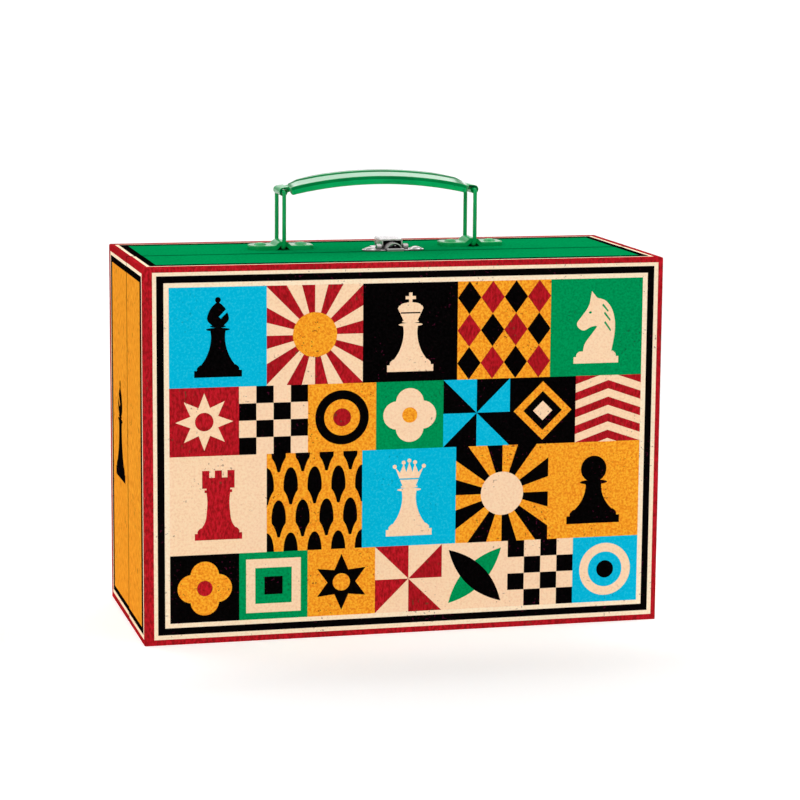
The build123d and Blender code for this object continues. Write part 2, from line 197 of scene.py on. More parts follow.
def ink(name, base, pale, dark, speck, grain=0.6, fleck=0.7, tall=1.0, cloud=0.2, drift=None):
    """Printed and varnished paper: ink with pale and dark mottling, flecks in loose clusters, and light scuffs on
    the outside edges. Shade is painted into it along the seam where the paper turns over the rim, in a wider band on
    the top."""
    t = Tree("ink_" + name)
    base, pale, dark, speck = lin(base), lin(pale), lin(dark), lin(speck)
    stretched = t.scaled(1.0, 1.0, tall)
    g = t.noise(760, 2.5, 0.6, vector=stretched)
    colour = t.mix(t.math("MULTIPLY", t.step(g, 0.50, 0.62), grain), base, pale)
    colour = t.mix(t.math("MULTIPLY", t.step(g, 0.50, 0.38), grain), colour, dark)
    wide = t.step(t.noise(24, 3.0, 0.6, vector=t.scaled(1.0, 1.0, 0.55)), 0.36, 0.64)
    colour = t.mix(t.math("MULTIPLY", wide, cloud), colour, drift and lin(drift) or dark)
    spots = t.step(t.noise(620, 1.0, 0.4, vector=stretched), 0.655, 0.69)
    where = t.step(t.noise(46, 2.0, 0.55), 0.52, 0.62, 0.06, 1.0)
    colour = t.mix(t.math("MULTIPLY", t.math("MULTIPLY", spots, where), fleck), colour, speck)
    edge = t.step(box_edge_distance(t), 0.0, 0.0007, 1.0, 0.0)
    scuff = t.step(t.noise(260, 4.0, 0.7), 0.60, 0.70)
    colour = t.mix(t.math("MULTIPLY", t.math("MULTIPLY", edge, scuff), 0.45), colour, PAPER_CORE)
    # painted shade: near black along the seam groove between the halves, and in a wider band beside the seam on the top
    x, y, z = t.split()
    off = t.math("ABSOLUTE", t.math("SUBTRACT", y, SEAM_Y * MM))
    turn = t.step(off, 0.00045, 0.00150, 1.0, 0.0)
    on_top = t.step(z, (CASE_H - 1.2) * MM, (CASE_H - 0.5) * MM, 0.0, 0.85)
    turn = t.math("MAXIMUM", turn, t.math("MULTIPLY", on_top, t.step(off, 0.0010, 0.0027, 1.0, 0.0)))
    turn = t.math("MULTIPLY", turn, t.step(t.noise(90, 2.0), 0.3, 0.7, 0.72, 0.92))
    colour = t.mix(turn, colour, tuple(c * 0.16 for c in base[:3]) + (1.0,))
    t.set("Base Color", colour)
    t.set("Roughness", t.step(t.noise(170, 2.0), 0.3, 0.7, 0.56, 0.72))
    t.bsdf.inputs["Specular IOR Level"].default_value = 0.0
    fibres = t.bump(t.noise(2100, 3.0, 0.6), 0.00003, 0.5)
    t.set("Normal", t.bump(t.noise(34, 1.5, 0.5), 0.0002, 0.3, normal=fibres))
    return t.mat


INKS = {
    "red": ink("red", (182, 26, 34), (206, 30, 46), (128, 20, 24), (84, 62, 40), 0.75, 0.75, tall=0.45, cloud=0.42, drift=(146, 20, 26)),
    "cream": ink("cream", (255, 233, 198), (255, 240, 214), (246, 212, 178), (84, 52, 58), 0.5, 0.6, cloud=0.15, drift=(253, 217, 194)),
    "peach": ink("peach", (254, 217, 177), (255, 227, 190), (242, 196, 154), (120, 70, 66), 0.5, 0.55, cloud=0.2, drift=(251, 208, 180)),
    "black": ink("black", (5, 4, 4), (12, 9, 10), (1, 1, 1), (92, 20, 54), 0.7, 0.5, cloud=0.1),
    "orange": ink("orange", (250, 160, 38), (255, 188, 52), (232, 124, 28), (122, 50, 22), 0.8, 0.85, cloud=0.14, drift=(240, 144, 30)),
    "amber": ink("amber", (242, 155, 43), (250, 173, 49), (212, 124, 30), (104, 46, 22), 0.8, 0.9, tall=0.32, cloud=0.2, drift=(236, 144, 34)),
    "green": ink("green", (0, 147, 84), (0, 162, 94), (0, 122, 68), (22, 66, 46), 0.55, 0.6, cloud=0.18),
    "moss": ink("moss", (0, 144, 80), (0, 156, 88), (0, 122, 66), (2, 74, 44), 0.6, 0.5, cloud=0.14),
    "blue": ink("blue", (4, 184, 220), (60, 204, 228), (0, 166, 206), (10, 110, 140), 0.32, 0.4, cloud=0.10, drift=(0, 174, 210)),
}
INK_ORDER = list(INKS)


def paper_core():
    t = Tree("paper_core")
    t.set("Base Color", t.mix(t.step(t.noise(900, 3.0), 0.3, 0.7), PAPER_CORE, lin((190, 176, 156))))
    t.bsdf.inputs["Roughness"].default_value = 0.85
    t.set("Normal", t.bump(t.noise(2600, 3.0), 0.00004, 0.6))
    return t.mat


# ----------------------------------------------------------------------
# flat shapes, in millimetres
# ----------------------------------------------------------------------
def rect(x0, y0, x1, y1):
    return [(x0, y0), (x1, y0), (x1, y1), (x0, y1)]


def ellipse(cx, cy, rx, ry=None, n=36, a0=0.0):
    ry = rx if ry is None else ry
    return [(cx + rx * math.cos(a0 + 2 * math.pi * i / n), cy + ry * math.sin(a0 + 2 * math.pi * i / n)) for i in range(n)]


def smooth(points, n=6):
    """Rounded line through open points."""
    out = []
    p = [points[0]] + list(points) + [points[-1]]
    for i in range(1, len(p) - 2):
        for k in range(n):
            u = k / n
            a, b, c, d = p[i - 1], p[i], p[i + 1], p[i + 2]
            out.append(tuple(0.5 * ((2 * b[j]) + (-a[j] + c[j]) * u + (2 * a[j] - 5 * b[j] + 4 * c[j] - d[j]) * u * u
                                    + (-a[j] + 3 * b[j] - 3 * c[j] + d[j]) * u ** 3) for j in (0, 1)))
    out.append(points[-1])
    return out


def turned(half):
    """Outline of a turned shape from the right half of its profile, bottom to top."""
    left = [(-x, y) for x, y in reversed(half) if x > 1e-6]
    return list(half) + left


def place(poly, cx, cy, sx, sy=None, turn=0.0):
    sy = sx if sy is None else sy
    c, s = math.cos(turn), math.sin(turn)
    return [(cx + (c * x * sx - s * y * sy), cy + (s * x * sx + c * y * sy)) for x, y in poly]


def area(poly):
    return sum(a[0] * b[1] - b[0] * a[1] for a, b in zip(poly, poly[1:] + poly[:1])) / 2


def clipped(poly, box):
    x0, y0, x1, y1 = box
    for axis, limit, keep_less in ((0, x0, False), (0, x1, True), (1, y0, False), (1, y1, True)):
        if not poly:
            return []
        out = []
        for a, b in zip(poly, poly[1:] + poly[:1]):
            ia = a[axis] <= limit + 1e-9 if keep_less else a[axis] >= limit - 1e-9
            ib = b[axis] <= limit + 1e-9 if keep_less else b[axis] >= limit - 1e-9
            if ia:
                out.append(a)
            if ia != ib:
                u = (limit - a[axis]) / (b[axis] - a[axis])
                out.append((a[0] + u * (b[0] - a[0]), a[1] + u * (b[1] - a[1])))
        poly = out
    clean = []
    for p in poly:
        if not clean or math.dist(p, clean[-1]) > 1e-6:
            clean.append(p)
    if len(clean) > 1 and math.dist(clean[0], clean[-1]) < 1e-6:
        clean.pop()
    return clean if len(clean) > 2 and abs(area(clean)) > 1e-4 else []


# ----------------------------------------------------------------------
# plain turned chess figures of the traditional kind, one unit tall
# ----------------------------------------------------------------------
def figure(kind, fg, bg):
    """Returns [(ink, outline)] about x = 0, from y = 0 up."""
    top = {"pawn": 0.44, "rook": 0.60}.get(kind, 0.58)
    foot = [(fg, rect(-0.30, 0.0, 0.30, 0.085)),
            (fg, turned(smooth([(0.265, 0.085), (0.262, 0.12), (0.225, 0.155)], 3)))]
    k = top / 0.58
    stem = smooth([(0.215, 0.15), (0.150, 0.15 + 0.10 * k), (0.105, 0.15 + 0.22 * k), (0.088, 0.15 + 0.34 * k), (0.096, top)], 5)
    out = foot
    if kind == "pawn":
        out += [(fg, turned(stem)), (fg, ellipse(0, 0.455, 0.155, 0.026)), (fg, ellipse(0, 0.60, 0.145))]
    if kind == "rook":
        stem = smooth([(0.215, 0.15), (0.165, 0.24), (0.145, 0.38), (0.140, 0.50), (0.150, 0.60)], 5)
        out += [(fg, turned(stem)), (fg, rect(-0.175, 0.60, 0.175, 0.635)), (fg, rect(-0.205, 0.655, 0.205, 0.79)),
                (fg, rect(-0.205, 0.79, -0.115, 0.88)), (fg, rect(-0.045, 0.79, 0.045, 0.88)), (fg, rect(0.115, 0.79, 0.205, 0.88))]
        out += [(fg, rect(-0.15, 0.63, 0.15, 0.66))]
    if kind == "bishop":
        head = smooth([(0.060, 0.635), (0.128, 0.70), (0.132, 0.765), (0.085, 0.865), (0.0, 0.945)], 6)
        out += [(fg, turned(stem)), (fg, ellipse(0, 0.595, 0.150, 0.022)), (fg, ellipse(0, 0.633, 0.098, 0.018)),
                (fg, turned(head)), (fg, ellipse(0, 0.962, 0.036)),
                (bg, [(0.012, 0.752), (0.036, 0.728), (0.150, 0.842), (0.126, 0.872)])]
    if kind == "queen":
        crown = [(0.085, 0.64), (0.185, 0.885), (0.120, 0.815), (0.072, 0.93), (0.040, 0.82), (0.0, 0.95),
                 (-0.040, 0.82), (-0.072, 0.93), (-0.120, 0.815), (-0.185, 0.885), (-0.085, 0.64)]
        out += [(fg, turned(stem)), (fg, ellipse(0, 0.595, 0.155, 0.022)), (fg, ellipse(0, 0.633, 0.110, 0.018)), (fg, crown)]
        out += [(fg, ellipse(x, y, 0.026)) for x, y in ((0.190, 0.895), (0.074, 0.945), (0.0, 0.968), (-0.074, 0.945), (-0.190, 0.895))]
        out += [(bg, rect(-0.125, 0.725, 0.125, 0.742))]
    if kind == "king":
        out += [(fg, turned(stem)), (fg, ellipse(0, 0.595, 0.155, 0.022)), (fg, ellipse(0, 0.633, 0.110, 0.018)),
                (fg, [(0.088, 0.64), (0.165, 0.80), (0.150, 0.835), (-0.150, 0.835), (-0.165, 0.80), (-0.088, 0.64)]),
                (fg, ellipse(0, 0.835, 0.135, 0.042)), (fg, rect(-0.022, 0.86, 0.022, 1.0)), (fg, rect(-0.066, 0.915, 0.066, 0.955)),
                (bg, rect(-0.128, 0.735, 0.128, 0.752))]
    if kind == "knight":
        jaw = smooth([(-0.175, 0.155), (-0.150, 0.26), (-0.045, 0.40), (0.005, 0.475), (-0.075, 0.468), (-0.165, 0.425),
                      (-0.235, 0.455), (-0.262, 0.520), (-0.205, 0.600), (-0.130, 0.700), (-0.095, 0.775)], 5)
        ear = [(-0.070, 0.93), (0.000, 0.845)]
        mane = smooth([(0.010, 0.840), (0.120, 0.800), (0.205, 0.690), (0.245, 0.540), (0.245, 0.390), (0.225, 0.260), (0.205, 0.155)], 5)
        out += [(fg, jaw + ear + mane), (bg, ellipse(-0.085, 0.655, 0.020, 0.015, 14)),
                (bg, [(0.070, 0.745), (0.150, 0.655), (0.158, 0.675), (0.085, 0.765)]),
                (bg, [(0.095, 0.640), (0.180, 0.535), (0.188, 0.558), (0.110, 0.660)]),
                (bg, [(0.100, 0.520), (0.188, 0.405), (0.194, 0.430), (0.116, 0.540)])]
    return out


# ----------------------------------------------------------------------
# patchwork motifs. Each takes the tile's box and inks and returns [(ink, outline)]
# ----------------------------------------------------------------------
def m_figure(box, kind, fg, bg, share=0.80):
    x0, y0, x1, y1 = box
    h = (y1 - y0) * share
    tall = {"pawn": 0.745, "rook": 0.88, "knight": 0.93, "bishop": 0.998, "queen": 0.994, "king": 1.0}[kind]
    base = y0 + ((y1 - y0) - h * tall) / 2
    return [(i, place(p, (x0 + x1) / 2, base, h)) for i, p in figure(kind, fg, bg)]


def m_checks(box, nx, ny, a, first=0):
    x0, y0, x1, y1 = box
    w, h = (x1 - x0) / nx, (y1 - y0) / ny
    return [(a, rect(x0 + i * w, y0 + j * h, x0 + (i + 1) * w, y0 + (j + 1) * h))
            for i in range(nx) for j in range(ny) if (i + j) % 2 == first]


def m_rings(box, inks, r=0.40):
    cx, cy = (box[0] + box[2]) / 2, (box[1] + box[3]) / 2
    full = min(box[2] - box[0], box[3] - box[1]) * r
    return [(c, ellipse(cx, cy, full * (1 - i / len(inks)), n=56)) for i, c in enumerate(inks)]


def m_star(box, points, fg, r=0.42, inner=0.44, turn=math.pi / 2, heart=None):
    cx, cy = (box[0] + box[2]) / 2, (box[1] + box[3]) / 2
    full = min(box[2] - box[0], box[3] - box[1]) * r
    poly = []
    for i in range(2 * points):
        a = turn + math.pi * i / points
        q = full * (1.0 if i % 2 == 0 else inner)
        poly.append((cx + q * math.cos(a), cy + q * math.sin(a)))
    out = [(fg, poly)]
    if heart:
        out.append((heart, ellipse(cx, cy, full * inner * 0.62, n=30)))
    return out


def m_diamonds(box, inks, r=0.44):
    cx, cy = (box[0] + box[2]) / 2, (box[1] + box[3]) / 2
    w, h = (box[2] - box[0]) * r, (box[3] - box[1]) * r
    out = []
    for i, c in enumerate(inks):
        k = 1 - i / len(inks)
        out.append((c, [(cx + w * k, cy), (cx, cy + h * k), (cx - w * k, cy), (cx, cy - h * k)]))
    return out


def m_petals(box, fg, heart, r=0.21):
    cx, cy = (box[0] + box[2]) / 2, (box[1] + box[3]) / 2
    q = min(box[2] - box[0], box[3] - box[1])
    out = [(fg, ellipse(cx + dx * q * 0.19, cy + dy * q * 0.19, q * r, n=34)) for dx, dy in ((1, 0), (0, 1), (-1, 0), (0, -1))]
    return out + [(heart, ellipse(cx, cy, q * 0.115, n=28))]


def m_pinwheel(box, a, b):
    x0, y0, x1, y1 = box
    cx, cy = (x0 + x1) / 2, (y0 + y1) / 2
    return [(a, [(cx, cy), (cx, y1), (x0, y1)]), (b, [(cx, cy), (x0, y1), (x0, cy)]),
            (a, [(cx, cy), (x0, cy), (x0, y0)]), (b, [(cx, cy), (x0, y0), (cx, y0)]),
            (a, [(cx, cy), (cx, y0), (x1, y0)]), (b, [(cx, cy), (x1, y0), (x1, cy)]),
            (a, [(cx, cy), (x1, cy), (x1, y1)]), (b, [(cx, cy), (x1, y1), (cx, y1)])]


def m_harlequin(box, nx, ny, a, b):
    x0, y0, x1, y1 = box
    w, h = (x1 - x0) / nx, (y1 - y0) / ny
    out = []
    for i in range(nx):
        for j in range(ny):
            cx, cy = x0 + (i + 0.5) * w, y0 + (j + 0.5) * h
            out.append((a if (i + j) % 2 == 0 else b, [(cx + w / 2, cy), (cx, cy + h / 2), (cx - w / 2, cy), (cx, cy - h / 2)]))
    return out


def m_sun(box, rays, disc, n=12):
    x0, y0, x1, y1 = box
    cx, cy = (x0 + x1) / 2, (y0 + y1) / 2
    far = (x1 - x0) + (y1 - y0)
    out = []
    for i in range(n):
        a0, a1 = 2 * math.pi * i / n, 2 * math.pi * (i + 0.5) / n
        out.append((rays, clipped([(cx, cy), (cx + far * math.cos(a0), cy + far * math.sin(a0)),
                                   (cx + far * math.cos(a1), cy + far * math.sin(a1))], box)))
    q = min(x1 - x0, y1 - y0)
    return out + [(disc, ellipse(cx, cy, q * 0.23, n=44))]


def m_scales(box, nx, ny, a, b):
    x0, y0, x1, y1 = box
    w, h = (x1 - x0) / nx, (y1 - y0) / ny
    out = []
    for j in range(ny, -1, -1):
        for i in range(-1, nx + 1):
            cx = x0 + (i + (0.5 if j % 2 else 1.0)) * w
            for k, c in ((0.5, a), (0.30, b)):
                out.append((c, clipped(ellipse(cx, y0 + j * h, w * k, h * k * 1.9, n=40), box)))
    return [o for o in out if o[1]]


def m_chevrons(box, n, a):
    x0, y0, x1, y1 = box
    cx, h = (x0 + x1) / 2, (y1 - y0) / n
    out = []
    for j in range(-1, n + 1):
        z = y0 + j * h
        out.append((a, clipped([(x0, z), (cx, z + h * 0.7), (cx, z + h * 1.2), (x0, z + h * 0.5)], box)))
        out.append((a, clipped([(cx, z + h * 0.7), (x1, z), (x1, z + h * 0.5), (cx, z + h * 1.2)], box)))
    return [o for o in out if o[1]]


def m_squares(box, inks, r=0.40):
    cx, cy = (box[0] + box[2]) / 2, (box[1] + box[3]) / 2
    w, h = (box[2] - box[0]) * r, (box[3] - box[1]) * r
    return [(c, rect(cx - w * (1 - i / len(inks)), cy - h * (1 - i / len(inks)), cx + w * (1 - i / len(inks)), cy + h * (1 - i / len(inks))))
            for i, c in enumerate(inks)]


def m_leaves(box, a, b):
    """Two leaves across the tile, corner to corner, and two bare corners."""
    x0, y0, x1, y1 = box
    q = min(x1 - x0, y1 - y0)
    cx, cy = (x0 + x1) / 2, (y0 + y1) / 2
    out = []
    for turn, c in ((math.pi / 4, a), (3 * math.pi / 4, b)):
        r = q * 0.62
        half = []
        for i in range(15):
            u = -1 + 2 * i / 14
            half.append((u * r * 0.92, q * 0.17 * (1 - u * u)))
        poly = half + [(x, -y) for x, y in reversed(half[1:-1])]
        out.append((c, clipped(place(poly, cx, cy, 1.0, turn=turn), box)))
    return out


def patchwork(field, rows):
    """rows: (height share, [(background, [motif, ...]), ...]) from the top."""
    x0, z0, x1, z1 = field
    total = sum(r[0] for r in rows)
    top, shapes = z1, []
    for share, tiles in rows:
        low = top - (z1 - z0) * share / total
        w = (x1 - x0) / len(tiles)
        for i, (bg, motif, *args) in enumerate(tiles):
            box = (x0 + i * w, low, x0 + (i + 1) * w, top)
            shapes.append((bg, rect(*box)))
            shapes += motif(box, *args)
        top = low
    return shapes


FRONT_ROWS = [
    (56.0, [("blue", m_figure, "bishop", "black", "blue"),
            ("peach", m_sun, "red", "orange"),
            ("black", m_figure, "king", "peach", "black"),
            ("orange", m_harlequin, 4, 3, "black", "red"),
            ("green", m_figure, "knight", "peach", "green")]),
    (38.6, [("red", m_star, 8, "peach", 0.42, 0.52, math.pi / 2, "red"),
            ("peach", m_checks, 4, 4, "black"),
            ("orange", m_rings, ["black", "orange", "red"]),
            ("green", m_petals, "peach", "orange"),
            ("blue", m_pinwheel, "blue", "black"),
            ("black", m_diamonds, ["orange", "black", "peach"]),
            ("red", m_chevrons, 4, "peach")]),
    (56.0, [("peach", m_figure, "rook", "red", "peach"),
            ("green", m_scales, 4, 3, "orange", "black"),
            ("blue", m_figure, "queen", "peach", "blue"),
            ("black", m_sun, "orange", "peach", 10),
            ("orange", m_figure, "pawn", "black", "orange", 0.95)]),
    (38.6, [("black", m_petals, "orange", "red"),
            ("green", m_squares, ["peach", "green", "black"]),
            ("orange", m_star, 6, "black", 0.42, 0.50, math.pi / 2, "orange"),
            ("red", m_pinwheel, "red", "peach"),
            ("peach", m_leaves, "green", "black"),
            ("black", m_checks, 4, 4, "peach"),
            ("blue", m_rings, ["peach", "blue", "black"])]),
]
BACK_ROWS = [
    (38.6, [("orange", m_rings, ["peach", "orange", "black"]),
            ("red", m_diamonds, ["peach", "red", "black"]),
            ("blue", m_petals, "black", "peach"),
            ("black", m_checks, 4, 4, "peach"),
            ("green", m_star, 8, "peach", 0.42, 0.52, math.pi / 2, "green"),
            ("orange", m_chevrons, 4, "black"),
            ("red", m_leaves, "peach", "black")]),
    (56.0, [("black", m_figure, "queen", "peach", "black"),
            ("green", m_sun, "peach", "red"),
            ("orange", m_figure, "knight", "black", "orange"),
            ("blue", m_harlequin, 4, 3, "peach", "black"),
            ("red", m_figure, "rook", "peach", "red")]),
    (38.6, [("peach", m_checks, 4, 4, "black"),
            ("green", m_pinwheel, "green", "orange"),
            ("black", m_star, 6, "orange", 0.42, 0.50, math.pi / 2, "black"),
            ("blue", m_squares, ["black", "blue", "peach"]),
            ("orange", m_petals, "red", "peach"),
            ("red", m_rings, ["black", "red", "peach"]),
            ("black", m_diamonds, ["blue", "black", "orange"])]),
    (56.0, [("green", m_figure, "pawn", "peach", "green", 0.95),
            ("black", m_scales, 4, 3, "red", "peach"),
            ("peach", m_figure, "bishop", "black", "peach"),
            ("orange", m_sun, "black", "peach", 10),
            ("blue", m_figure, "king", "black", "blue")]),
]


def bands(left, bottom, right, top, widths):
    """Nested border rectangles inside the red ground, inks from the outside in."""
    out = []
    for (wl, wb, wr, wt), c in widths:
        left, bottom, right, top = left + wl, bottom + wb, right - wr, top - wt
        out.append((c, rect(left, bottom, right, top)))
    return out, (left, bottom, right, top)


def face_print(rows, left, right):
    border, field = bands(-XO, 0.0, XO, CASE_H, [
        ((left, 3.25, right, 2.85), "cream"), ((2.2, 2.5, 2.4, 2.0), "black"),
        ((4.0, 3.9, 3.85, 3.85), "cream"), ((2.85, 2.55, 2.8, 2.6), "orange")])
    return border + patchwork(field, rows)


# ----------------------------------------------------------------------
# cutting a flat panel into one patch per ink
# ----------------------------------------------------------------------
HOLE = "hole"


def partition(outline, ground, shapes, points=(), lines=()):
    """Triangles of the outline, each with the ink of the topmost shape there."""
    verts, faces, names = [], [], []

    def add(name, poly):
        if len(poly) < 3:
            return
        if area(poly) < 0:
            poly = list(reversed(poly))
        faces.append(list(range(len(verts), len(verts) + len(poly))))
        verts.extend(Vector(p) for p in poly)
        names.append(name)

    add(ground, outline)
    for name, poly in shapes:
        add(name, poly)
    edges = []
    for a, b in lines:
        edges.append((len(verts), len(verts) + 1))
        verts.extend([Vector(a), Vector(b)])
    verts.extend(Vector(p) for p in points)
    v, _, f, _, _, of = geometry.delaunay_2d_cdt(verts, edges, faces, 1, 1e-4, True)
    tris = []
    for tri, origin in zip(f, of):
        if origin and 0 in origin:
            tris.append((tri, names[max(origin)]))
    return [(p.x, p.y) for p in v], tris


class Skin:
    """A mesh under construction: welded points in millimetres, oriented faces, a material each."""

    def __init__(self):
        self.bm = bmesh.new()
        self.seen = {}
        self.smooth = []

    def vert(self, p):
        key = tuple(round(c, 5) for c in p)
        if key not in self.seen:
            self.seen[key] = self.bm.verts.new([c * MM for c in p])
        return self.seen[key]

    def face(self, points, want, index, smooth_it=False):
        vs = []
        for p in points:
            w = self.vert(p)
            if w not in vs:
                vs.append(w)
        if len(vs) < 3:
            return
        n = geometry.normal([w.co for w in vs])
        if n.length < 1e-9:
            return
        if n.dot(Vector(want)) < 0:
            vs.reverse()
        try:
            f = self.bm.faces.new(vs)
        except ValueError:
            return
        f.material_index = index
        f.smooth = smooth_it

    def mesh(self, name, materials):
        me = bpy.data.meshes.new(name)
        self.bm.normal_update()
        self.bm.to_mesh(me)
        self.bm.free()
        for m in materials:
            me.materials.append(m)
        return me


Q = math.pi / 2 * EDGE_R
S1, S2 = CASE_H - EDGE_R, CASE_H - EDGE_R + Q
S3 = S2 + 2 * (XO - EDGE_R)
S4 = S3 + Q
S5 = S4 + CASE_H - EDGE_R


def belt(s):
    """Centre line point and outward normal of the three outside walls at s, from the left foot over the top to the right foot."""
    r = EDGE_R
    if s <= S1:
        return (-XO + r, s), (-1.0, 0.0)
    if s < S2:
        a = (s - S1) / r
        return (-XO + r, CASE_H - r), (-math.cos(a), math.sin(a))
    if s <= S3:
        return (-XO + r + (s - S2), CASE_H - r), (0.0, 1.0)
    if s < S4:
        a = (s - S3) / r
        return (XO - r, CASE_H - r), (math.sin(a), math.cos(a))
    return (XO - r, CASE_H - r - (s - S4)), (1.0, 0.0)


def s_left(z):
    return min(z, S1)


def s_top(x):
    return S2 + (x + XO - EDGE_R)


def s_right(z):
    return S4 + (CASE_H - EDGE_R - z)


def wrap(name, d, y_rim, y_face, side, top, face, slit=None):
    """The printed paper of one half: outside walls, outer face, rim and turn-in."""
    depth = abs(y_face - y_rim)
    t_end = depth - EDGE_R
    sk = Skin()
    index = {k: i for i, k in enumerate(INK_ORDER)}

    def y(t):
        return y_rim + d * t

    shapes = []
    # left and right walls: bands, panel and a figure on the rear half
    for sfun, mirror in ((s_left, False), (s_right, True)):
        zl, zh, tf = 0.0, CASE_H, depth
        for (wb, wt, wf), c in side["bands"]:
            zl, zh, tf = zl + wb, zh - wt, tf - wf
            shapes.append((c, [(sfun(zl), RIM_R - 0.01), (sfun(zh), RIM_R - 0.01), (sfun(zh), tf), (sfun(zl), tf)]))
        for c, poly in side.get("figure_right" if mirror else "figure_left", []):
            shapes.append((c, [(sfun(z), (yy - y_rim) * d) for yy, z in poly]))
    xl, xh, tf = -XO, XO, depth
    for (wl, wr, wf), c in top:
        xl, xh, tf = xl + wl, xh - wr, tf - wf
        shapes.append((c, [(s_top(xl), RIM_R - 0.01), (s_top(xh), RIM_R - 0.01), (s_top(xh), tf), (s_top(xl), tf)]))
    if slit:
        x0, x1, y0, y1 = slit
        shapes.append((HOLE, [(s_top(x0), (y0 - y_rim) * d), (s_top(x1), (y0 - y_rim) * d),
                              (s_top(x1), (y1 - y_rim) * d), (s_top(x0), (y1 - y_rim) * d)]))
    box = (0.0, RIM_R, S5, t_end)
    shapes = [(c, clipped(p, box)) for c, p in shapes]
    shapes = [(c, p) for c, p in shapes if p]
    lines = []
    for base in (S1, S3):
        for k in range(0, 7):
            s = base + Q * k / 6
            lines.append(((s, RIM_R), (s, t_end)))
    inner = CASE_H - INSET_LINED
    extra = [(s_left(INSET_LINED), RIM_R), (s_left(inner), RIM_R), (s_top(-XO + INSET_LINED), RIM_R),
             (s_top(XO - INSET_LINED), RIM_R), (s_right(inner), RIM_R), (s_right(INSET_LINED), RIM_R)]
    pts, tris = partition(rect(*box), "red", shapes, points=extra, lines=lines)
    rim_seg, face_seg = {}, {}
    for tri, c in tris:
        if c == HOLE:
            continue
        q = [pts[i] for i in tri]
        out = []
        for s, t in q:
            (cx, cz), (nx, nz) = belt(s)
            out.append((cx + nx * EDGE_R, y(t), cz + nz * EDGE_R))
        mid = sum(p[0] for p in q) / 3
        _, (nx, nz) = belt(mid)
        curved = S1 < mid < S2 or S3 < mid < S4
        sk.face(out, (nx, 0, nz), index[c], curved)
        for a, b in ((0, 1), (1, 2), (2, 0)):
            (sa, ta), (sb, tb) = q[a], q[b]
            if abs(ta - RIM_R) < 1e-5 and abs(tb - RIM_R) < 1e-5:
                rim_seg[(min(sa, sb), max(sa, sb))] = index[c]
            if abs(ta - t_end) < 1e-5 and abs(tb - t_end) < 1e-5:
                face_seg[(min(sa, sb), max(sa, sb))] = index[c]

    # rounded edge to the outer face
    n = 6
    for (sa, sb), mi in face_seg.items():
        for k in range(n):
            b0, b1 = math.pi / 2 * k / n, math.pi / 2 * (k + 1) / n

            def at(s, b):
                (cx, cz), (nx, nz) = belt(s)
                return (cx + nx * EDGE_R * math.cos(b), y_face - d * EDGE_R + d * EDGE_R * math.sin(b), cz + nz * EDGE_R * math.cos(b))

            _, (nx, nz) = belt((sa + sb) / 2)
            bm = (b0 + b1) / 2
            sk.face([at(sa, b0), at(sb, b0), at(sb, b1), at(sa, b1)], (nx * math.cos(bm), d * math.sin(bm), nz * math.cos(bm)), mi, True)
    # outer face
    r = EDGE_R
    outline = rect(-XO + r, 0.0, XO - r, CASE_H - r)
    face_pts = sorted({belt(s)[0] for seg in face_seg for s in seg})
    face_shapes = [(c, clipped(p, (-XO + r, 0.0, XO - r, CASE_H - r))) for c, p in face]
    fp, ft = partition(outline, "red", [(c, p) for c, p in face_shapes if p], points=face_pts)
    for tri, c in ft:
        sk.face([(fp[i][0], y_face, fp[i][1]) for i in tri], (0, d, 0), index[c])

    # rim: rounded turn, flat rim, turn-in
    m = 4
    xi, zi = XO - INSET_LINED, CASE_H - INSET_LINED

    def inner_point(s):
        (cx, cz), (nx, nz) = belt(s)
        if s <= S1:
            return (-xi, min(cz, zi))
        if s < S2:
            return (-xi, zi)
        if s <= S3:
            return (max(-xi, min(xi, cx)), zi)
        if s < S4:
            return (xi, zi)
        return (xi, min(cz, zi))

    for (sa, sb), mi in rim_seg.items():
        _, (nx, nz) = belt((sa + sb) / 2)

        def rim_at(s, b):
            (cx, cz), (ex, ez) = belt(s)
            k = EDGE_R - RIM_R + RIM_R * math.cos(b)
            return (cx + ex * k, y(RIM_R - RIM_R * math.sin(b)), cz + ez * k)

        for k in range(m):
            b0, b1 = math.pi / 2 * k / m, math.pi / 2 * (k + 1) / m
            bm = (b0 + b1) / 2
            sk.face([rim_at(sa, b0), rim_at(sb, b0), rim_at(sb, b1), rim_at(sa, b1)],
                    (nx * math.cos(bm), -d * math.sin(bm), nz * math.cos(bm)), mi, True)
        qa, qb = inner_point(sa), inner_point(sb)
        pa, pb = rim_at(sa, math.pi / 2), rim_at(sb, math.pi / 2)
        sk.face([pa, pb, (qb[0], y_rim, qb[1]), (qa[0], y_rim, qa[1])], (0, -d, 0), mi)
        if math.dist(qa, qb) > 1e-6 and min(qa[1], qb[1]) >= INSET_LINED - 1e-6:
            sk.face([(qa[0], y_rim, qa[1]), (qb[0], y_rim, qb[1]), (qb[0], y(TURN_IN), qb[1]), (qa[0], y(TURN_IN), qa[1])],
                    (-nx, 0, -nz), mi)
    # floor strip of the rim and its turn-in
    red = index["red"]
    z0 = 0.3
    sk.face([(-xi, y_rim, z0), (xi, y_rim, z0), (xi, y_rim, INSET_LINED), (-xi, y_rim, INSET_LINED)], (0, -d, 0), red)
    sk.face([(-xi, y_rim, INSET_LINED), (xi, y_rim, INSET_LINED), (xi, y(TURN_IN), INSET_LINED), (-xi, y(TURN_IN), INSET_LINED)],
            (0, 0, 1), red)
    me = sk.mesh(name, [INKS[k] for k in INK_ORDER] + [MAT_CORE])
    o = bpy.data.objects.new(name, me)
    scene.collection.objects.link(o)
    thick = o.modifiers.new("paper", "SOLIDIFY")
    thick.thickness = 0.25 * MM
    thick.offset = -1.0
    thick.use_rim = True
    thick.material_offset = 0
    thick.material_offset_rim = len(INK_ORDER)
    return o


MAT_CORE = paper_core()

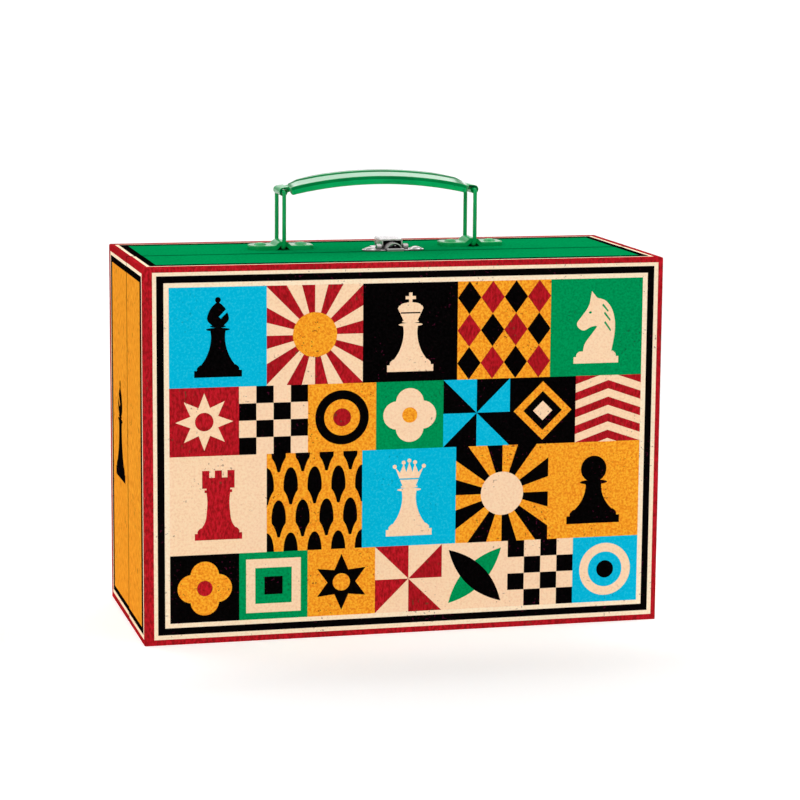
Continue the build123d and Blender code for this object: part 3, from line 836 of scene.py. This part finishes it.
side_front = {"bands": [((3.05, 3.5, 3.1), "cream"), ((2.3, 1.95, 2.0), "black"), ((3.3, 3.65, 5.7), "amber")]}
side_rear = {"bands": [((3.55, 3.6, 6.3), "cream"), ((2.3, 1.95, 1.6), "black"), ((3.3, 3.65, 5.2), "amber")]}
FIG_Y, FIG_Z, FIG_H = 22.6, 79.0, 58.0
side_rear["figure_left"] = [("black" if i == "black" else "amber", place(p, FIG_Y, FIG_Z, FIG_H)) for i, p in figure("bishop", "black", "amber")]
side_rear["figure_right"] = [("black" if i == "black" else "amber", place(p, FIG_Y, FIG_Z, FIG_H)) for i, p in figure("rook", "black", "amber")]
top_front = [((3.1, 4.3, 4.9), "cream"), ((2.0, 1.9, 1.9), "black"), ((4.3, 4.2, 6.2), "moss")]
top_rear = [((2.6, 4.5, 7.0), "cream"), ((2.0, 1.9, 1.3), "black"), ((4.7, 4.2, 7.0), "moss")]

front_wrap = wrap("front_wrap_print", -1, RIM_FRONT, Y_FRONT, side_front, top_front,
                  face_print(FRONT_ROWS, 5.3, 3.1),
                  slit=(LATCH_X - 4.9, LATCH_X + 4.9, -6.6, -6.0))
rear_wrap = wrap("rear_wrap_print", 1, RIM_REAR, Y_BACK, side_rear, top_rear, face_print(BACK_ROWS, 3.6, 3.6))
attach(front_wrap, "front_half")
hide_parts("front_wrap")
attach(rear_wrap, "rear_half")
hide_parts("rear_wrap")


# ----------------------------------------------------------------------
# other materials
# ----------------------------------------------------------------------
def greyboard():
    t = Tree("greyboard_fibre")
    c = t.mix(t.step(t.noise(700, 4.0, 0.7), 0.3, 0.7), lin((176, 168, 156)), lin((146, 138, 126)))
    c = t.mix(t.math("MULTIPLY", t.step(t.noise(1500, 1.0), 0.66, 0.72), 0.5), c, lin((90, 82, 72)))
    t.set("Base Color", c)
    t.set("Roughness", t.step(t.noise(300, 2.0), 0.3, 0.7, 0.82, 0.95))
    t.set("Normal", t.bump(t.noise(1600, 4.0, 0.7), 0.00008, 0.7))
    return t.mat


def lining():
    """Black paper with a tone-on-tone check."""
    t = Tree("lining_paper_check")
    ck = t.new("ShaderNodeTexChecker")
    ck.inputs["Scale"].default_value = 100.0
    m = t.new("ShaderNodeMapping")
    m.inputs["Location"].default_value = (0.0013, 0.0037, 0.0021)
    t.link(t.obj, m.inputs["Vector"])
    t.link(m.outputs[0], ck.inputs["Vector"])
    c = t.mix(ck.outputs["Fac"], lin((25, 24, 24)), lin((44, 42, 41)))
    c = t.mix(t.math("MULTIPLY", t.step(t.noise(1200, 3.0), 0.4, 0.7), 0.35), c, lin((58, 54, 52)))
    t.set("Base Color", c)
    t.set("Roughness", t.step(t.noise(260, 2.0), 0.3, 0.7, 0.62, 0.78))
    t.bsdf.inputs["Specular IOR Level"].default_value = 0.2
    t.set("Normal", t.bump(t.noise(2200, 3.0, 0.6), 0.00004, 0.6))
    return t.mat


def neck_paper():
    t = Tree("neck_paper")
    c = t.mix(t.step(t.noise(900, 3.0, 0.6), 0.3, 0.7), lin((240, 224, 192)), lin((226, 208, 172)))
    c = t.mix(t.math("MULTIPLY", t.step(t.noise(700, 1.0), 0.70, 0.75), 0.35), c, lin((150, 120, 90)))
    t.set("Base Color", c)
    t.set("Roughness", t.step(t.noise(240, 2.0), 0.3, 0.7, 0.66, 0.82))
    t.set("Normal", t.bump(t.noise(2000, 3.0, 0.6), 0.00005, 0.6))
    return t.mat


def bookcloth():
    """Woven book cloth, red."""
    t = Tree("bookcloth_red")
    x, y, z = t.split()
    wx = t.math("SINE", t.math("MULTIPLY", x, 2 * math.pi / 0.00055))
    wy = t.math("SINE", t.math("MULTIPLY", y, 2 * math.pi / 0.00060))
    weave = t.math("MULTIPLY", t.math("ADD", t.math("MULTIPLY", wx, wy), 1.0), 0.5)
    c = t.mix(weave, lin((118, 16, 22)), lin((166, 30, 34)))
    c = t.mix(t.math("MULTIPLY", t.step(t.noise(90, 3.0), 0.4, 0.7), 0.3), c, lin((96, 14, 20)))
    t.set("Base Color", c)
    t.set("Roughness", t.step(t.noise(400, 2.0), 0.3, 0.7, 0.80, 0.95))
    t.bsdf.inputs["Sheen Weight"].default_value = 0.25
    t.bsdf.inputs["Specular IOR Level"].default_value = 0.2
    t.set("Normal", t.bump(weave, 0.00008, 0.8))
    return t.mat


def enamel(name, a, b, gloss, coat):
    """Stoved gloss enamel over pressed steel."""
    t = Tree(name)
    c = t.mix(t.step(t.noise(60, 2.0), 0.35, 0.65), lin(a), lin(b))
    c = t.mix(t.math("MULTIPLY", t.step(t.noise(700, 1.0, 0.4), 0.72, 0.75), 0.6), c, lin((8, 84, 50)))
    t.set("Base Color", c)
    t.set("Roughness", t.step(t.noise(140, 3.0), 0.3, 0.7, 0.12, 0.20))
    t.bsdf.inputs["Specular IOR Level"].default_value = gloss
    t.bsdf.inputs["Coat Weight"].default_value = coat
    t.bsdf.inputs["Coat Roughness"].default_value = 0.10
    t.set("Normal", t.bump(t.noise(240, 1.5, 0.4), 0.00005, 0.25))
    return t.mat


def latch_metal(name, region, metallic=0.62, crevice_shade=0.94):
    """Bright nickel plate. The faces hidden inside the pressing have painted shade and are rougher, and shade is
    painted into the narrow corners between the pieces.
    """
    t = Tree(name)
    c = t.mix(t.step(t.noise(120, 3.0), 0.3, 0.7), lin((236, 227, 227)), lin((214, 205, 206)))
    lines = t.noise(2600, 2.0, 0.6, vector=t.scaled(1.0, 0.06, 1.0))
    c = t.mix(t.math("MULTIPLY", t.step(lines, 0.55, 0.75), 0.12), c, lin((160, 152, 152)))
    x, y, z = t.split()
    # painted shade over the region that the caller gives
    painted_shade_mask = region(t, t.math("SUBTRACT", x, LATCH_X * MM), y, t.math("SUBTRACT", z, CASE_H * MM))
    c = t.mix(painted_shade_mask, c, lin((58, 44, 48)))
    # painted shade: the colour darkens in the narrow corners between the pieces, by ambient occlusion
    near = t.new("ShaderNodeAmbientOcclusion")
    near.samples = 8
    near.inputs["Distance"].default_value = 0.0028
    c = t.mix(t.step(near.outputs["AO"], 0.42, 0.96, crevice_shade, 0.0), c, lin((52, 40, 44)))
    t.set("Base Color", c)
    t.bsdf.inputs["Metallic"].default_value = metallic
    shine = t.math("ADD", t.step(lines, 0.4, 0.7, 0.0, 0.08), t.step(t.noise(90, 2.0), 0.3, 0.7, 0.12, 0.20))
    t.set("Roughness", t.math("ADD", shine, t.math("MULTIPLY", painted_shade_mask, 0.45)))
    t.set("Normal", t.bump(lines, 0.000012, 0.5))
    return t.mat


def under_tongue(t, x, y, z):
    """Painted shade on the plate and lugs between the cheeks, behind the front lip."""
    a = t.step(t.math("ABSOLUTE", x), 0.0050, 0.0054, 1.0, 0.0)
    return t.math("MULTIPLY", a, t.step(y, -0.0040, -0.0032))


# painted shade on the faces inside the lever
def inside_lever(t, x, y, z):
    a = t.step(t.math("ABSOLUTE", x), 0.00545, 0.0056, 1.0, 0.0)
    a = t.math("MULTIPLY", a, t.step(z, 0.00545, 0.0056, 1.0, 0.0))
    return t.math("MULTIPLY", a, t.step(y, 0.0018, 0.0024))


def tongue_inner(t, x, y, z):
    """Painted shade in the hollow of the arch, and on all of the tongue behind the mouth of the lever."""
    zc = 0.00095 + 0.0006 + 0.0031 - 0.004963
    r = t.math("SQRT", t.math("ADD", t.math("MULTIPLY", x, x),
                              t.math("MULTIPLY", t.math("SUBTRACT", z, zc), t.math("SUBTRACT", z, zc))))
    hollow = t.math("MULTIPLY", t.step(r, 0.00440, 0.00448, 1.0, 0.0), t.step(y, -0.0039, -0.0037))
    return t.math("MAXIMUM", hollow, t.step(y, 0.0014, 0.0030))


def nowhere(t, x, y, z):
    return t.step(z, -0.0010, -0.0006, 1.0, 0.0)


def metal(name, a, b, rough, scratch=(1.0, 0.06, 1.0), wear=0.5):
    t = Tree(name)
    c = t.mix(t.step(t.noise(120, 3.0), 0.3, 0.7), lin(a), lin(b))
    lines = t.noise(2600, 2.0, 0.6, vector=t.scaled(*scratch))
    c = t.mix(t.math("MULTIPLY", t.step(lines, 0.55, 0.75), 0.18 * wear), c, lin(tuple(v * 0.6 for v in b)))
    t.set("Base Color", c)
    t.bsdf.inputs["Metallic"].default_value = 1.0
    t.set("Roughness", t.math("ADD", t.step(lines, 0.4, 0.7, 0.0, 0.10), t.step(t.noise(90, 2.0), 0.3, 0.7, rough, rough + 0.08)))
    t.set("Normal", t.bump(lines, 0.000012, 0.5))
    return t.mat


MATS = {
    "greyboard": greyboard(),
    "lining_paper": lining(),
    "neck_board": neck_paper(),
    "base_cloth": bookcloth(),
    "green_enamel": enamel("green_enamel", (0, 170, 91), (0, 157, 82), 0.14, 0.0),
    "green_enamel_grip": enamel("green_enamel_grip", (0, 150, 78), (0, 138, 70), 0.8, 0.85),
    # painted light: a paler, less glossy copy of the enamel for the turned-down sides of the grip
    "green_enamel_side_lit": enamel("green_enamel_side_lit", (0, 184, 102), (0, 172, 94), 0.12, 0.0),
    # painted shade: a darker, duller copy of the grip's enamel for its pressed line and fold
    "green_enamel_crease_shade": enamel("green_enamel_crease_shade", (0, 138, 72), (0, 124, 64), 0.05, 0.0),
    "nickel_plate": latch_metal("nickel_plate", nowhere),
    "zinc_steel": metal("zinc_steel", (176, 180, 186), (156, 160, 168), 0.34, wear=1.0),
    "spring_steel": metal("spring_steel", (150, 150, 154), (128, 128, 134), 0.28, wear=1.0),
}
# latch parts with painted shade on their hidden faces; the pin has painted shade between the cheeks
LATCH_MATS = {
    "latch_base": latch_metal("nickel_plate_base", under_tongue),
    "latch_lever": latch_metal("nickel_plate_lever", inside_lever),
    "catch_tongue": latch_metal("nickel_plate_tongue", tongue_inner, 0.4, 0.7),
    "latch_pin": latch_metal("nickel_plate_pin", under_tongue),
}
slot_of = {s["node"]: s["material_slot"] for s in frame["record"].get("subparts", [])}
for node, o in NODES.items():
    m = LATCH_MATS.get(node) or MATS.get(slot_of.get(node, ""))
    if m is None:
        continue
    o.data.materials.clear()
    o.data.materials.append(m)


# ----------------------------------------------------------------------
# hinge cloth under the case, one strip across the seam
# ----------------------------------------------------------------------
def base_cloth():
    ys = [-62.7, -50, -35, -20, -10, -7.5, -6.6]
    ys += [-6.2 + 0.1 * i for i in range(0, 25)]
    ys += [-3.4, -2.5, 0, 10, 25, 40, 55, 62.7]
    xs = [-149.7 + i * (299.4 / 12) for i in range(13)]
    bm = bmesh.new()
    rows = [[bm.verts.new((x * MM, yy * MM, 0.0)) for x in xs] for yy in ys]
    for r0, r1 in zip(rows, rows[1:]):
        for i in range(len(xs) - 1):
            bm.faces.new((r0[i], r0[i + 1], r1[i + 1], r1[i]))
    bm.normal_update()
    ret = bmesh.ops.extrude_face_region(bm, geom=list(bm.faces))
    for g in ret["geom"]:
        if isinstance(g, bmesh.types.BMVert):
            g.co.z += 0.28 * MM
    bmesh.ops.recalc_face_normals(bm, faces=bm.faces)
    me = bpy.data.meshes.new("base_hinge_cloth")
    bm.to_mesh(me)
    bm.free()
    me.materials.append(MATS["base_cloth"])
    o = bpy.data.objects.new("base_hinge_cloth", me)
    scene.collection.objects.link(o)
    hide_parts("base_cloth_rear_half", "base_cloth_front_half")
    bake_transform(o)
    return o


base_cloth()


# ----------------------------------------------------------------------
# grip: one pressed sheet, arched, with turned-down sides, a raised
# outline and ends curled round the rings
# ----------------------------------------------------------------------
def smoothstep(a, b, x):
    u = max(0.0, min(1.0, (x - a) / (b - a)))
    return u * u * (3 - 2 * u)


GRIP_R, FOLD_Z, GRIP_HW, CROWN = 244.0, 41.5, 9.1, 3.9
SHEET = 0.85
EYE_Z, EYE_OUT = 33.6, 2.5


def grip_path():
    """Stations along the outer surface of the sheet: (x, z, nx, nz, flatness)."""
    st = []
    s_end = 51.5
    n = 92
    arc = []
    for i in range(n + 1):
        s = s_end * i / n
        a = s / GRIP_R
        arc.append((GRIP_R * math.sin(a), FOLD_Z - GRIP_R * (1 - math.cos(a)), math.sin(a), math.cos(a), 0.0))
    # outer line on the crown at the arc's end runs down to the top of the eye
    x0, z0, nx0, nz0, _ = arc[-1]
    p0 = Vector((x0 + nx0 * 0.0, z0 + nz0 * 0.0))
    ang0 = s_end / GRIP_R
    eye = Vector((HANDLE_HALF, EYE_Z))
    ang1 = math.radians(12)
    p3 = eye + EYE_OUT * Vector((math.sin(ang1), math.cos(ang1)))
    t0 = Vector((math.cos(ang0 + 0.22), -math.sin(ang0 + 0.22)))
    t1 = Vector((math.cos(ang1), -math.sin(ang1)))
    span = (p3 - p0).length
    p1, p2 = p0 + t0 * span * 0.36, p3 - t1 * span * 0.40
    neck = []
    m = 26
    for i in range(1, m + 1):
        u = i / m
        p = (1 - u) ** 3 * p0 + 3 * (1 - u) ** 2 * u * p1 + 3 * (1 - u) * u * u * p2 + u ** 3 * p3
        tg = 3 * (1 - u) ** 2 * (p1 - p0) + 6 * (1 - u) * u * (p2 - p1) + 3 * u * u * (p3 - p2)
        tg.normalize()
        neck.append((p.x, p.y, -tg.y, tg.x, smoothstep(0.0, 1.0, u)))
    curl = []
    turn = math.radians(286)
    k = 44
    for i in range(1, k + 1):
        a = ang1 + (turn - ang1) * i / k
        # the curl closes in slightly on itself
        r = EYE_OUT - 0.10 * i / k
        curl.append((eye.x + r * math.sin(a), eye.y + r * math.cos(a), math.sin(a), math.cos(a), 1.0))
    half = arc + neck + curl
    left = [(-x, z, -nx, nz, f) for x, z, nx, nz, f in reversed(half[1:])]
    return left + half, len(curl), len(neck)


GROOVE_END = 52.8
RIB = 2.9                 # half width of the rib along the middle of the grip
RIB_DROP = 0.85
FOLD_R = 0.9
SLOPE = math.radians(24)
VISIBLE_LIP = 3.7


def groove_line(x):
    """Half width of the pressed line that runs round the rib, at x along the grip."""
    u = abs(x) / GROOVE_END
    return None if u >= 1 else RIB * (1 - u ** 6) ** 0.5


def grip_section(x, flat):
    """Outer line of the sheet across the grip: (w, h, mark) from the hem on one side to the other."""
    full = 1 - flat
    crown = CROWN * (1 - 0.16 * smoothstep(32, 50, abs(x))) * (1 - 0.5 * smoothstep(46, 53.5, abs(x))) * full
    hw = GRIP_HW * full + 8.75 * flat
    turned_down = 1 - smoothstep(0.02, 0.5, flat)
    lip = VISIBLE_LIP * turned_down + 0.02
    fold = FOLD_R * (0.1 + 0.9 * turned_down)
    ang = math.radians(80) * (1 - smoothstep(0.02, 0.55, flat)) + 0.02
    slope = min(SLOPE, ang) * (crown / CROWN)
    edge = hw - 0.36 * turned_down - fold * max(0.0, math.sin(ang) - math.sin(slope))
    gl = groove_line(x) if flat < 0.35 else None
    drop = RIB_DROP * crown / CROWN

    def height(w):
        w = abs(w)
        if w <= RIB:
            return crown - drop * (w / RIB) ** 2
        return crown - drop - (w - RIB) * math.tan(slope)

    mid = []
    for i in range(91):
        w = (-1 + 2 * i / 90) * edge
        h = height(w)
        deep = False
        if gl is not None:
            dist = abs(abs(w) - gl)
            h -= 0.45 * math.exp(-(dist / 0.58) ** 2) * smoothstep(GROOVE_END, GROOVE_END - 1.2, abs(x))
            deep = dist < 0.85
        mid.append((w, h, 1 if deep else 0))
    h_edge = height(edge)
    right = []
    fold_n, lip_n = 8, 6
    for k in range(1, fold_n + 1):
        a = slope + (ang - slope) * k / fold_n
        mark = 1 if k > 1 and turned_down > 0.9 else 0
        right.append((edge + fold * (math.sin(a) - math.sin(slope)), h_edge - fold * (math.cos(slope) - math.cos(a)), mark))
    we, he, _ = right[-1]
    run = max(0.05, he + lip) if turned_down > 0.5 else max(0.02, lip)
    for k in range(1, lip_n + 1):
        q = run * k / lip_n
        mark = 2 if turned_down > 0.9 else 0
        if mark and q < 0.75:
            mark = 1
        right.append((we + 0.36 * turned_down * k / lip_n, he - math.sin(ang) * q, mark))
    return [(-w, h, d) for w, h, d in reversed(right)] + mid + right


def grip_mesh():
    path, _, _ = grip_path()
    bm = bmesh.new()
    hem_n = 5
    rows, marks = [], []
    for x, z, nx, nz, flat in path:
        line = [(max(-GRIP_HW, min(GRIP_HW, w)), h, m) for w, h, m in grip_section(x, flat)]
        n = len(line)
        inner = []
        for i in range(n):
            (wa, ha, _), (wb, hb, _) = line[max(0, i - 1)], line[min(n - 1, i + 1)]
            d = math.hypot(wb - wa, hb - ha) or 1.0
            inner.append((line[i][0] + (hb - ha) / d * SHEET, line[i][1] - (wb - wa) / d * SHEET, line[i][2]))
        loop = list(line)
        for tip, back, end in ((line[-1], inner[-1], line[-2]), (line[0], inner[0], line[1])):
            cw, ch = (tip[0] + back[0]) / 2, (tip[1] + back[1]) / 2
            ox, oy = (tip[0] - back[0]) / 2, (tip[1] - back[1]) / 2
            d = math.hypot(tip[0] - end[0], tip[1] - end[1]) or 1.0
            ax, ay = (tip[0] - end[0]) / d * SHEET / 2, (tip[1] - end[1]) / d * SHEET / 2
            arc = []
            for k in range(1, hem_n):
                a = math.pi * k / hem_n
                arc.append((cw + ox * math.cos(a) + ax * math.sin(a), ch + oy * math.cos(a) + ay * math.sin(a), tip[2]))
            if tip is line[-1]:
                loop += arc + list(reversed(inner))
            else:
                loop += list(reversed(arc))
        rows.append([bm.verts.new(Vector((HANDLE_X + x + nx * h, HANDLE_Y + w, CASE_H + z + nz * h)) * MM) for w, h, _ in loop])
        marks.append([m for _, _, m in loop])
    count = len(rows[0])
    for a, b, ma, mb, st in zip(rows, rows[1:], marks, marks[1:], path):
        plain = st[4] > 0.3
        for i in range(count):
            j = (i + 1) % count
            f = bm.faces.new((a[i], b[i], b[j], a[j]))
            f.smooth = True
            both = [(ma[i], mb[i]), (ma[j], mb[j])]
            pick = [min(p, q) if 2 not in (p, q) else (2 if p == q else 0) for p, q in both]
            # the pressed line and the fold take the painted-shade copy of the enamel, the turned-down sides the
            # painted-light copy
            f.material_index = 1 if 1 in pick else (2 if pick == [2, 2] else (3 if plain else 0))
    for row in (rows[0], rows[-1]):
        half = len(row) // 2
        n = (count - 2 * (hem_n - 1)) // 2
        outer, back = row[:n], row[n + hem_n - 1:2 * n + hem_n - 1][::-1]
        for i in range(n - 1):
            bm.faces.new((outer[i], outer[i + 1], back[i + 1], back[i]))
        bm.faces.new([outer[-1]] + row[n:n + hem_n - 1] + [back[-1]])
        bm.faces.new([back[0]] + row[2 * n + hem_n - 1:] + [outer[0]])
    bmesh.ops.recalc_face_normals(bm, faces=bm.faces)
    me = bpy.data.meshes.new("handle_grip_pressed")
    bm.to_mesh(me)
    bm.free()
    me.materials.append(MATS["green_enamel_grip"])
    me.materials.append(MATS["green_enamel_crease_shade"])
    me.materials.append(MATS["green_enamel_side_lit"])
    me.materials.append(MATS["green_enamel"])
    o = bpy.data.objects.new("handle_grip_pressed", me)
    scene.collection.objects.link(o)
    return o


grip = grip_mesh()
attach(grip, "grip")
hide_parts("handle_grip")


# ----------------------------------------------------------------------
# flat spring under the lever
# ----------------------------------------------------------------------
def latch_spring():
    pts = [(9.5, 0.70), (12.5, 0.70), (14.2, 0.80), (16.0, 0.90), (17.6, 0.96)]
    line = smooth(pts, 6)
    bm = bmesh.new()
    rows = []
    for i, (yy, zz) in enumerate(line):
        w = 2.4 if yy < 16.8 else 2.4 - 0.8 * (yy - 16.8) / 0.8
        lo = [bm.verts.new(Vector((LATCH_X + sx * w, yy, CASE_H + zz + 0.02)) * MM) for sx in (-1, 1)]
        hi = [bm.verts.new(Vector((LATCH_X + sx * w, yy, CASE_H + zz + 0.30)) * MM) for sx in (-1, 1)]
        rows.append((lo, hi))
    for (a, b), (c, e) in zip(rows, rows[1:]):
        bm.faces.new((a[0], c[0], c[1], a[1]))
        bm.faces.new((b[0], b[1], e[1], e[0]))
        bm.faces.new((a[0], b[0], e[0], c[0]))
        bm.faces.new((a[1], c[1], e[1], b[1]))
    for (a, b) in (rows[0], rows[-1]):
        bm.faces.new((a[0], a[1], b[1], b[0]))
    bmesh.ops.recalc_face_normals(bm, faces=bm.faces)
    me = bpy.data.meshes.new("latch_flat_spring")
    bm.to_mesh(me)
    bm.free()
    me.materials.append(MATS["spring_steel"])
    o = bpy.data.objects.new("latch_flat_spring", me)
    scene.collection.objects.link(o)
    return o


spring = latch_spring()
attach(spring, "rear_half")
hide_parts("latch_spring")
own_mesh(spring)

for node, width in (("catch_tongue", 0.22), ("latch_base", 0.2), ("latch_lever", 0.2)):
    o = NODES[node]
    b = o.modifiers.new("soft_edges", "BEVEL")
    b.width = width * MM
    b.segments = 3
    b.limit_method = "ANGLE"
    b.angle_limit = math.radians(50)

# smooth shading of the carried-over metal
for node in ("handle_ring_left", "handle_ring_right", "handle_bracket_left", "handle_bracket_right", "bracket_rivets",
             "bracket_washers", "latch_base", "latch_rivets", "latch_washers", "latch_pin", "latch_lever", "catch_tongue"):
    o = NODES[node]
    w = o.modifiers.new("weld", "WELD")
    w.merge_threshold = 1e-6

# ----------------------------------------------------------------------
# floor, light, camera
# ----------------------------------------------------------------------
me = bpy.data.meshes.new("floor")
me.from_pydata([(-40, -40, 0), (40, -40, 0), (40, 60, 0), (-40, 60, 0)], [], [(0, 1, 2, 3)])
floor = bpy.data.objects.new("studio_floor", me)
scene.collection.objects.link(floor)
t = Tree("floor_paper")
t.set("Base Color", t.mix(t.noise(3.0, 2.0), lin((250, 250, 250)), lin((246, 246, 246))))
t.bsdf.inputs["Roughness"].default_value = 0.9
t.bsdf.inputs["Specular IOR Level"].default_value = 0.1
# painted light: the paper glows round the case, most at its foot, which takes away the shadow there and lights the foot
# of the walls
x, y, z = t.split()
dx = t.math("MAXIMUM", t.math("SUBTRACT", t.math("ABSOLUTE", x), XO * MM), 0.0)
dy = t.math("MAXIMUM", t.math("SUBTRACT", t.math("ABSOLUTE", y), Y_BACK * MM), 0.0)
away = t.math("SQRT", t.math("ADD", t.math("MULTIPLY", dx, dx), t.math("MULTIPLY", dy, dy)))
t.bsdf.inputs["Emission Color"].default_value = (1.0, 1.0, 1.0, 1.0)
t.set("Emission Strength", t.math("ADD", t.step(away, 0.0, 0.10, 0.24, 0.0), t.step(away, 0.0, 0.34, 0.16, 0.0)))
me.materials.append(t.mat)

world = bpy.data.worlds.new("studio")
scene.world = world
world.use_nodes = True
wn = world.node_tree
wn.nodes.clear()


def wnode(kind, **attrs):
    n = wn.nodes.new(kind)
    for k, v in attrs.items():
        setattr(n, k, v)
    return n


def wmath(op, a, b):
    n = wnode("ShaderNodeMath", operation=op)
    for sock, v in zip(n.inputs, (a, b)):
        if isinstance(v, bpy.types.NodeSocket):
            wn.links.new(v, sock)
        else:
            sock.default_value = v
    return n.outputs[0]


def wramp(value, lo, hi, to_lo, to_hi):
    n = wnode("ShaderNodeMapRange", interpolation_type="SMOOTHSTEP")
    for k, v in (("From Min", lo), ("From Max", hi), ("To Min", to_lo), ("To Max", to_hi)):
        n.inputs[k].default_value = v
    wn.links.new(value, n.inputs["Value"])
    return n.outputs["Result"]


# white room: even walls, a brighter sweep low behind the case and a broad soft panel above and behind it
sky = wnode("ShaderNodeTexCoord").outputs["Generated"]
sep = wnode("ShaderNodeSeparateXYZ")
wn.links.new(sky, sep.inputs[0])
behind = wnode("ShaderNodeVectorMath", operation="DOT_PRODUCT")
wn.links.new(sky, behind.inputs[0])
behind.inputs[1].default_value = (0.25, 0.968, 0.0)
fore = behind.outputs["Value"]
high = sep.outputs[2]
sweep = wmath("MULTIPLY", wramp(fore, 0.88, 0.96, 0.0, 1.0), wramp(high, 0.26, 0.36, 1.0, 0.0))
panel = wmath("MULTIPLY", wramp(fore, 0.10, 0.20, 0.0, 1.0),
              wmath("MULTIPLY", wramp(high, 0.54, 0.62, 0.0, 1.0), wramp(high, 0.90, 0.94, 1.0, 0.0)))
room = wramp(fore, -0.50, 0.10, 0.34, 0.54)
level = wmath("ADD", wmath("ADD", wmath("MULTIPLY", sweep, 0.9), wmath("MULTIPLY", panel, 2.9)), room)
bg = wnode("ShaderNodeBackground")
wn.links.new(level, bg.inputs["Strength"])
wout = wnode("ShaderNodeOutputWorld")
wn.links.new(bg.outputs[0], wout.inputs["Surface"])


def sun(name, toward, strength, angle):
    li = bpy.data.lights.new(name, "SUN")
    li.energy = strength
    li.angle = math.radians(angle)
    o = bpy.data.objects.new(name, li)
    o.rotation_euler = Vector(toward).to_track_quat("Z", "Y").to_euler()
    scene.collection.objects.link(o)
    return o


sun("fill", (-0.58, -0.735, 0.35), 1.06, 50)
sun("key", (0.45, -0.25, 0.86), 0.60, 60)

yaw, pitch, roll = -0.2495, 0.16285, 0.00818
dist, focal_px = 1.61383, 2765.3
target = Vector((0.01011, -0.00505, 0.12460))
back = Vector((math.sin(yaw) * math.cos(pitch), -math.cos(yaw) * math.cos(pitch), math.sin(pitch)))
right = Vector((math.cos(yaw), math.sin(yaw), 0.0))
upv = back.cross(right)
r2 = math.cos(roll) * right + math.sin(roll) * upv
u2 = -math.sin(roll) * right + math.cos(roll) * upv
cam_data = bpy.data.cameras.new("photo_camera")
cam_data.sensor_width = 36.0
cam_data.lens = 36.0 * focal_px / 800.0
cam_data.clip_start, cam_data.clip_end = 0.05, 200.0
cam = bpy.data.objects.new("photo_camera", cam_data)
scene.collection.objects.link(cam)
rot = Matrix((r2, u2, back)).transposed()
cam.matrix_world = Matrix.Translation(target + dist * back) @ rot.to_4x4()
scene.camera = cam

scene.view_settings.view_transform = "Standard"
scene.view_settings.look = "None"
scene.view_settings.exposure = 0.0
scene.view_settings.gamma = 1.0
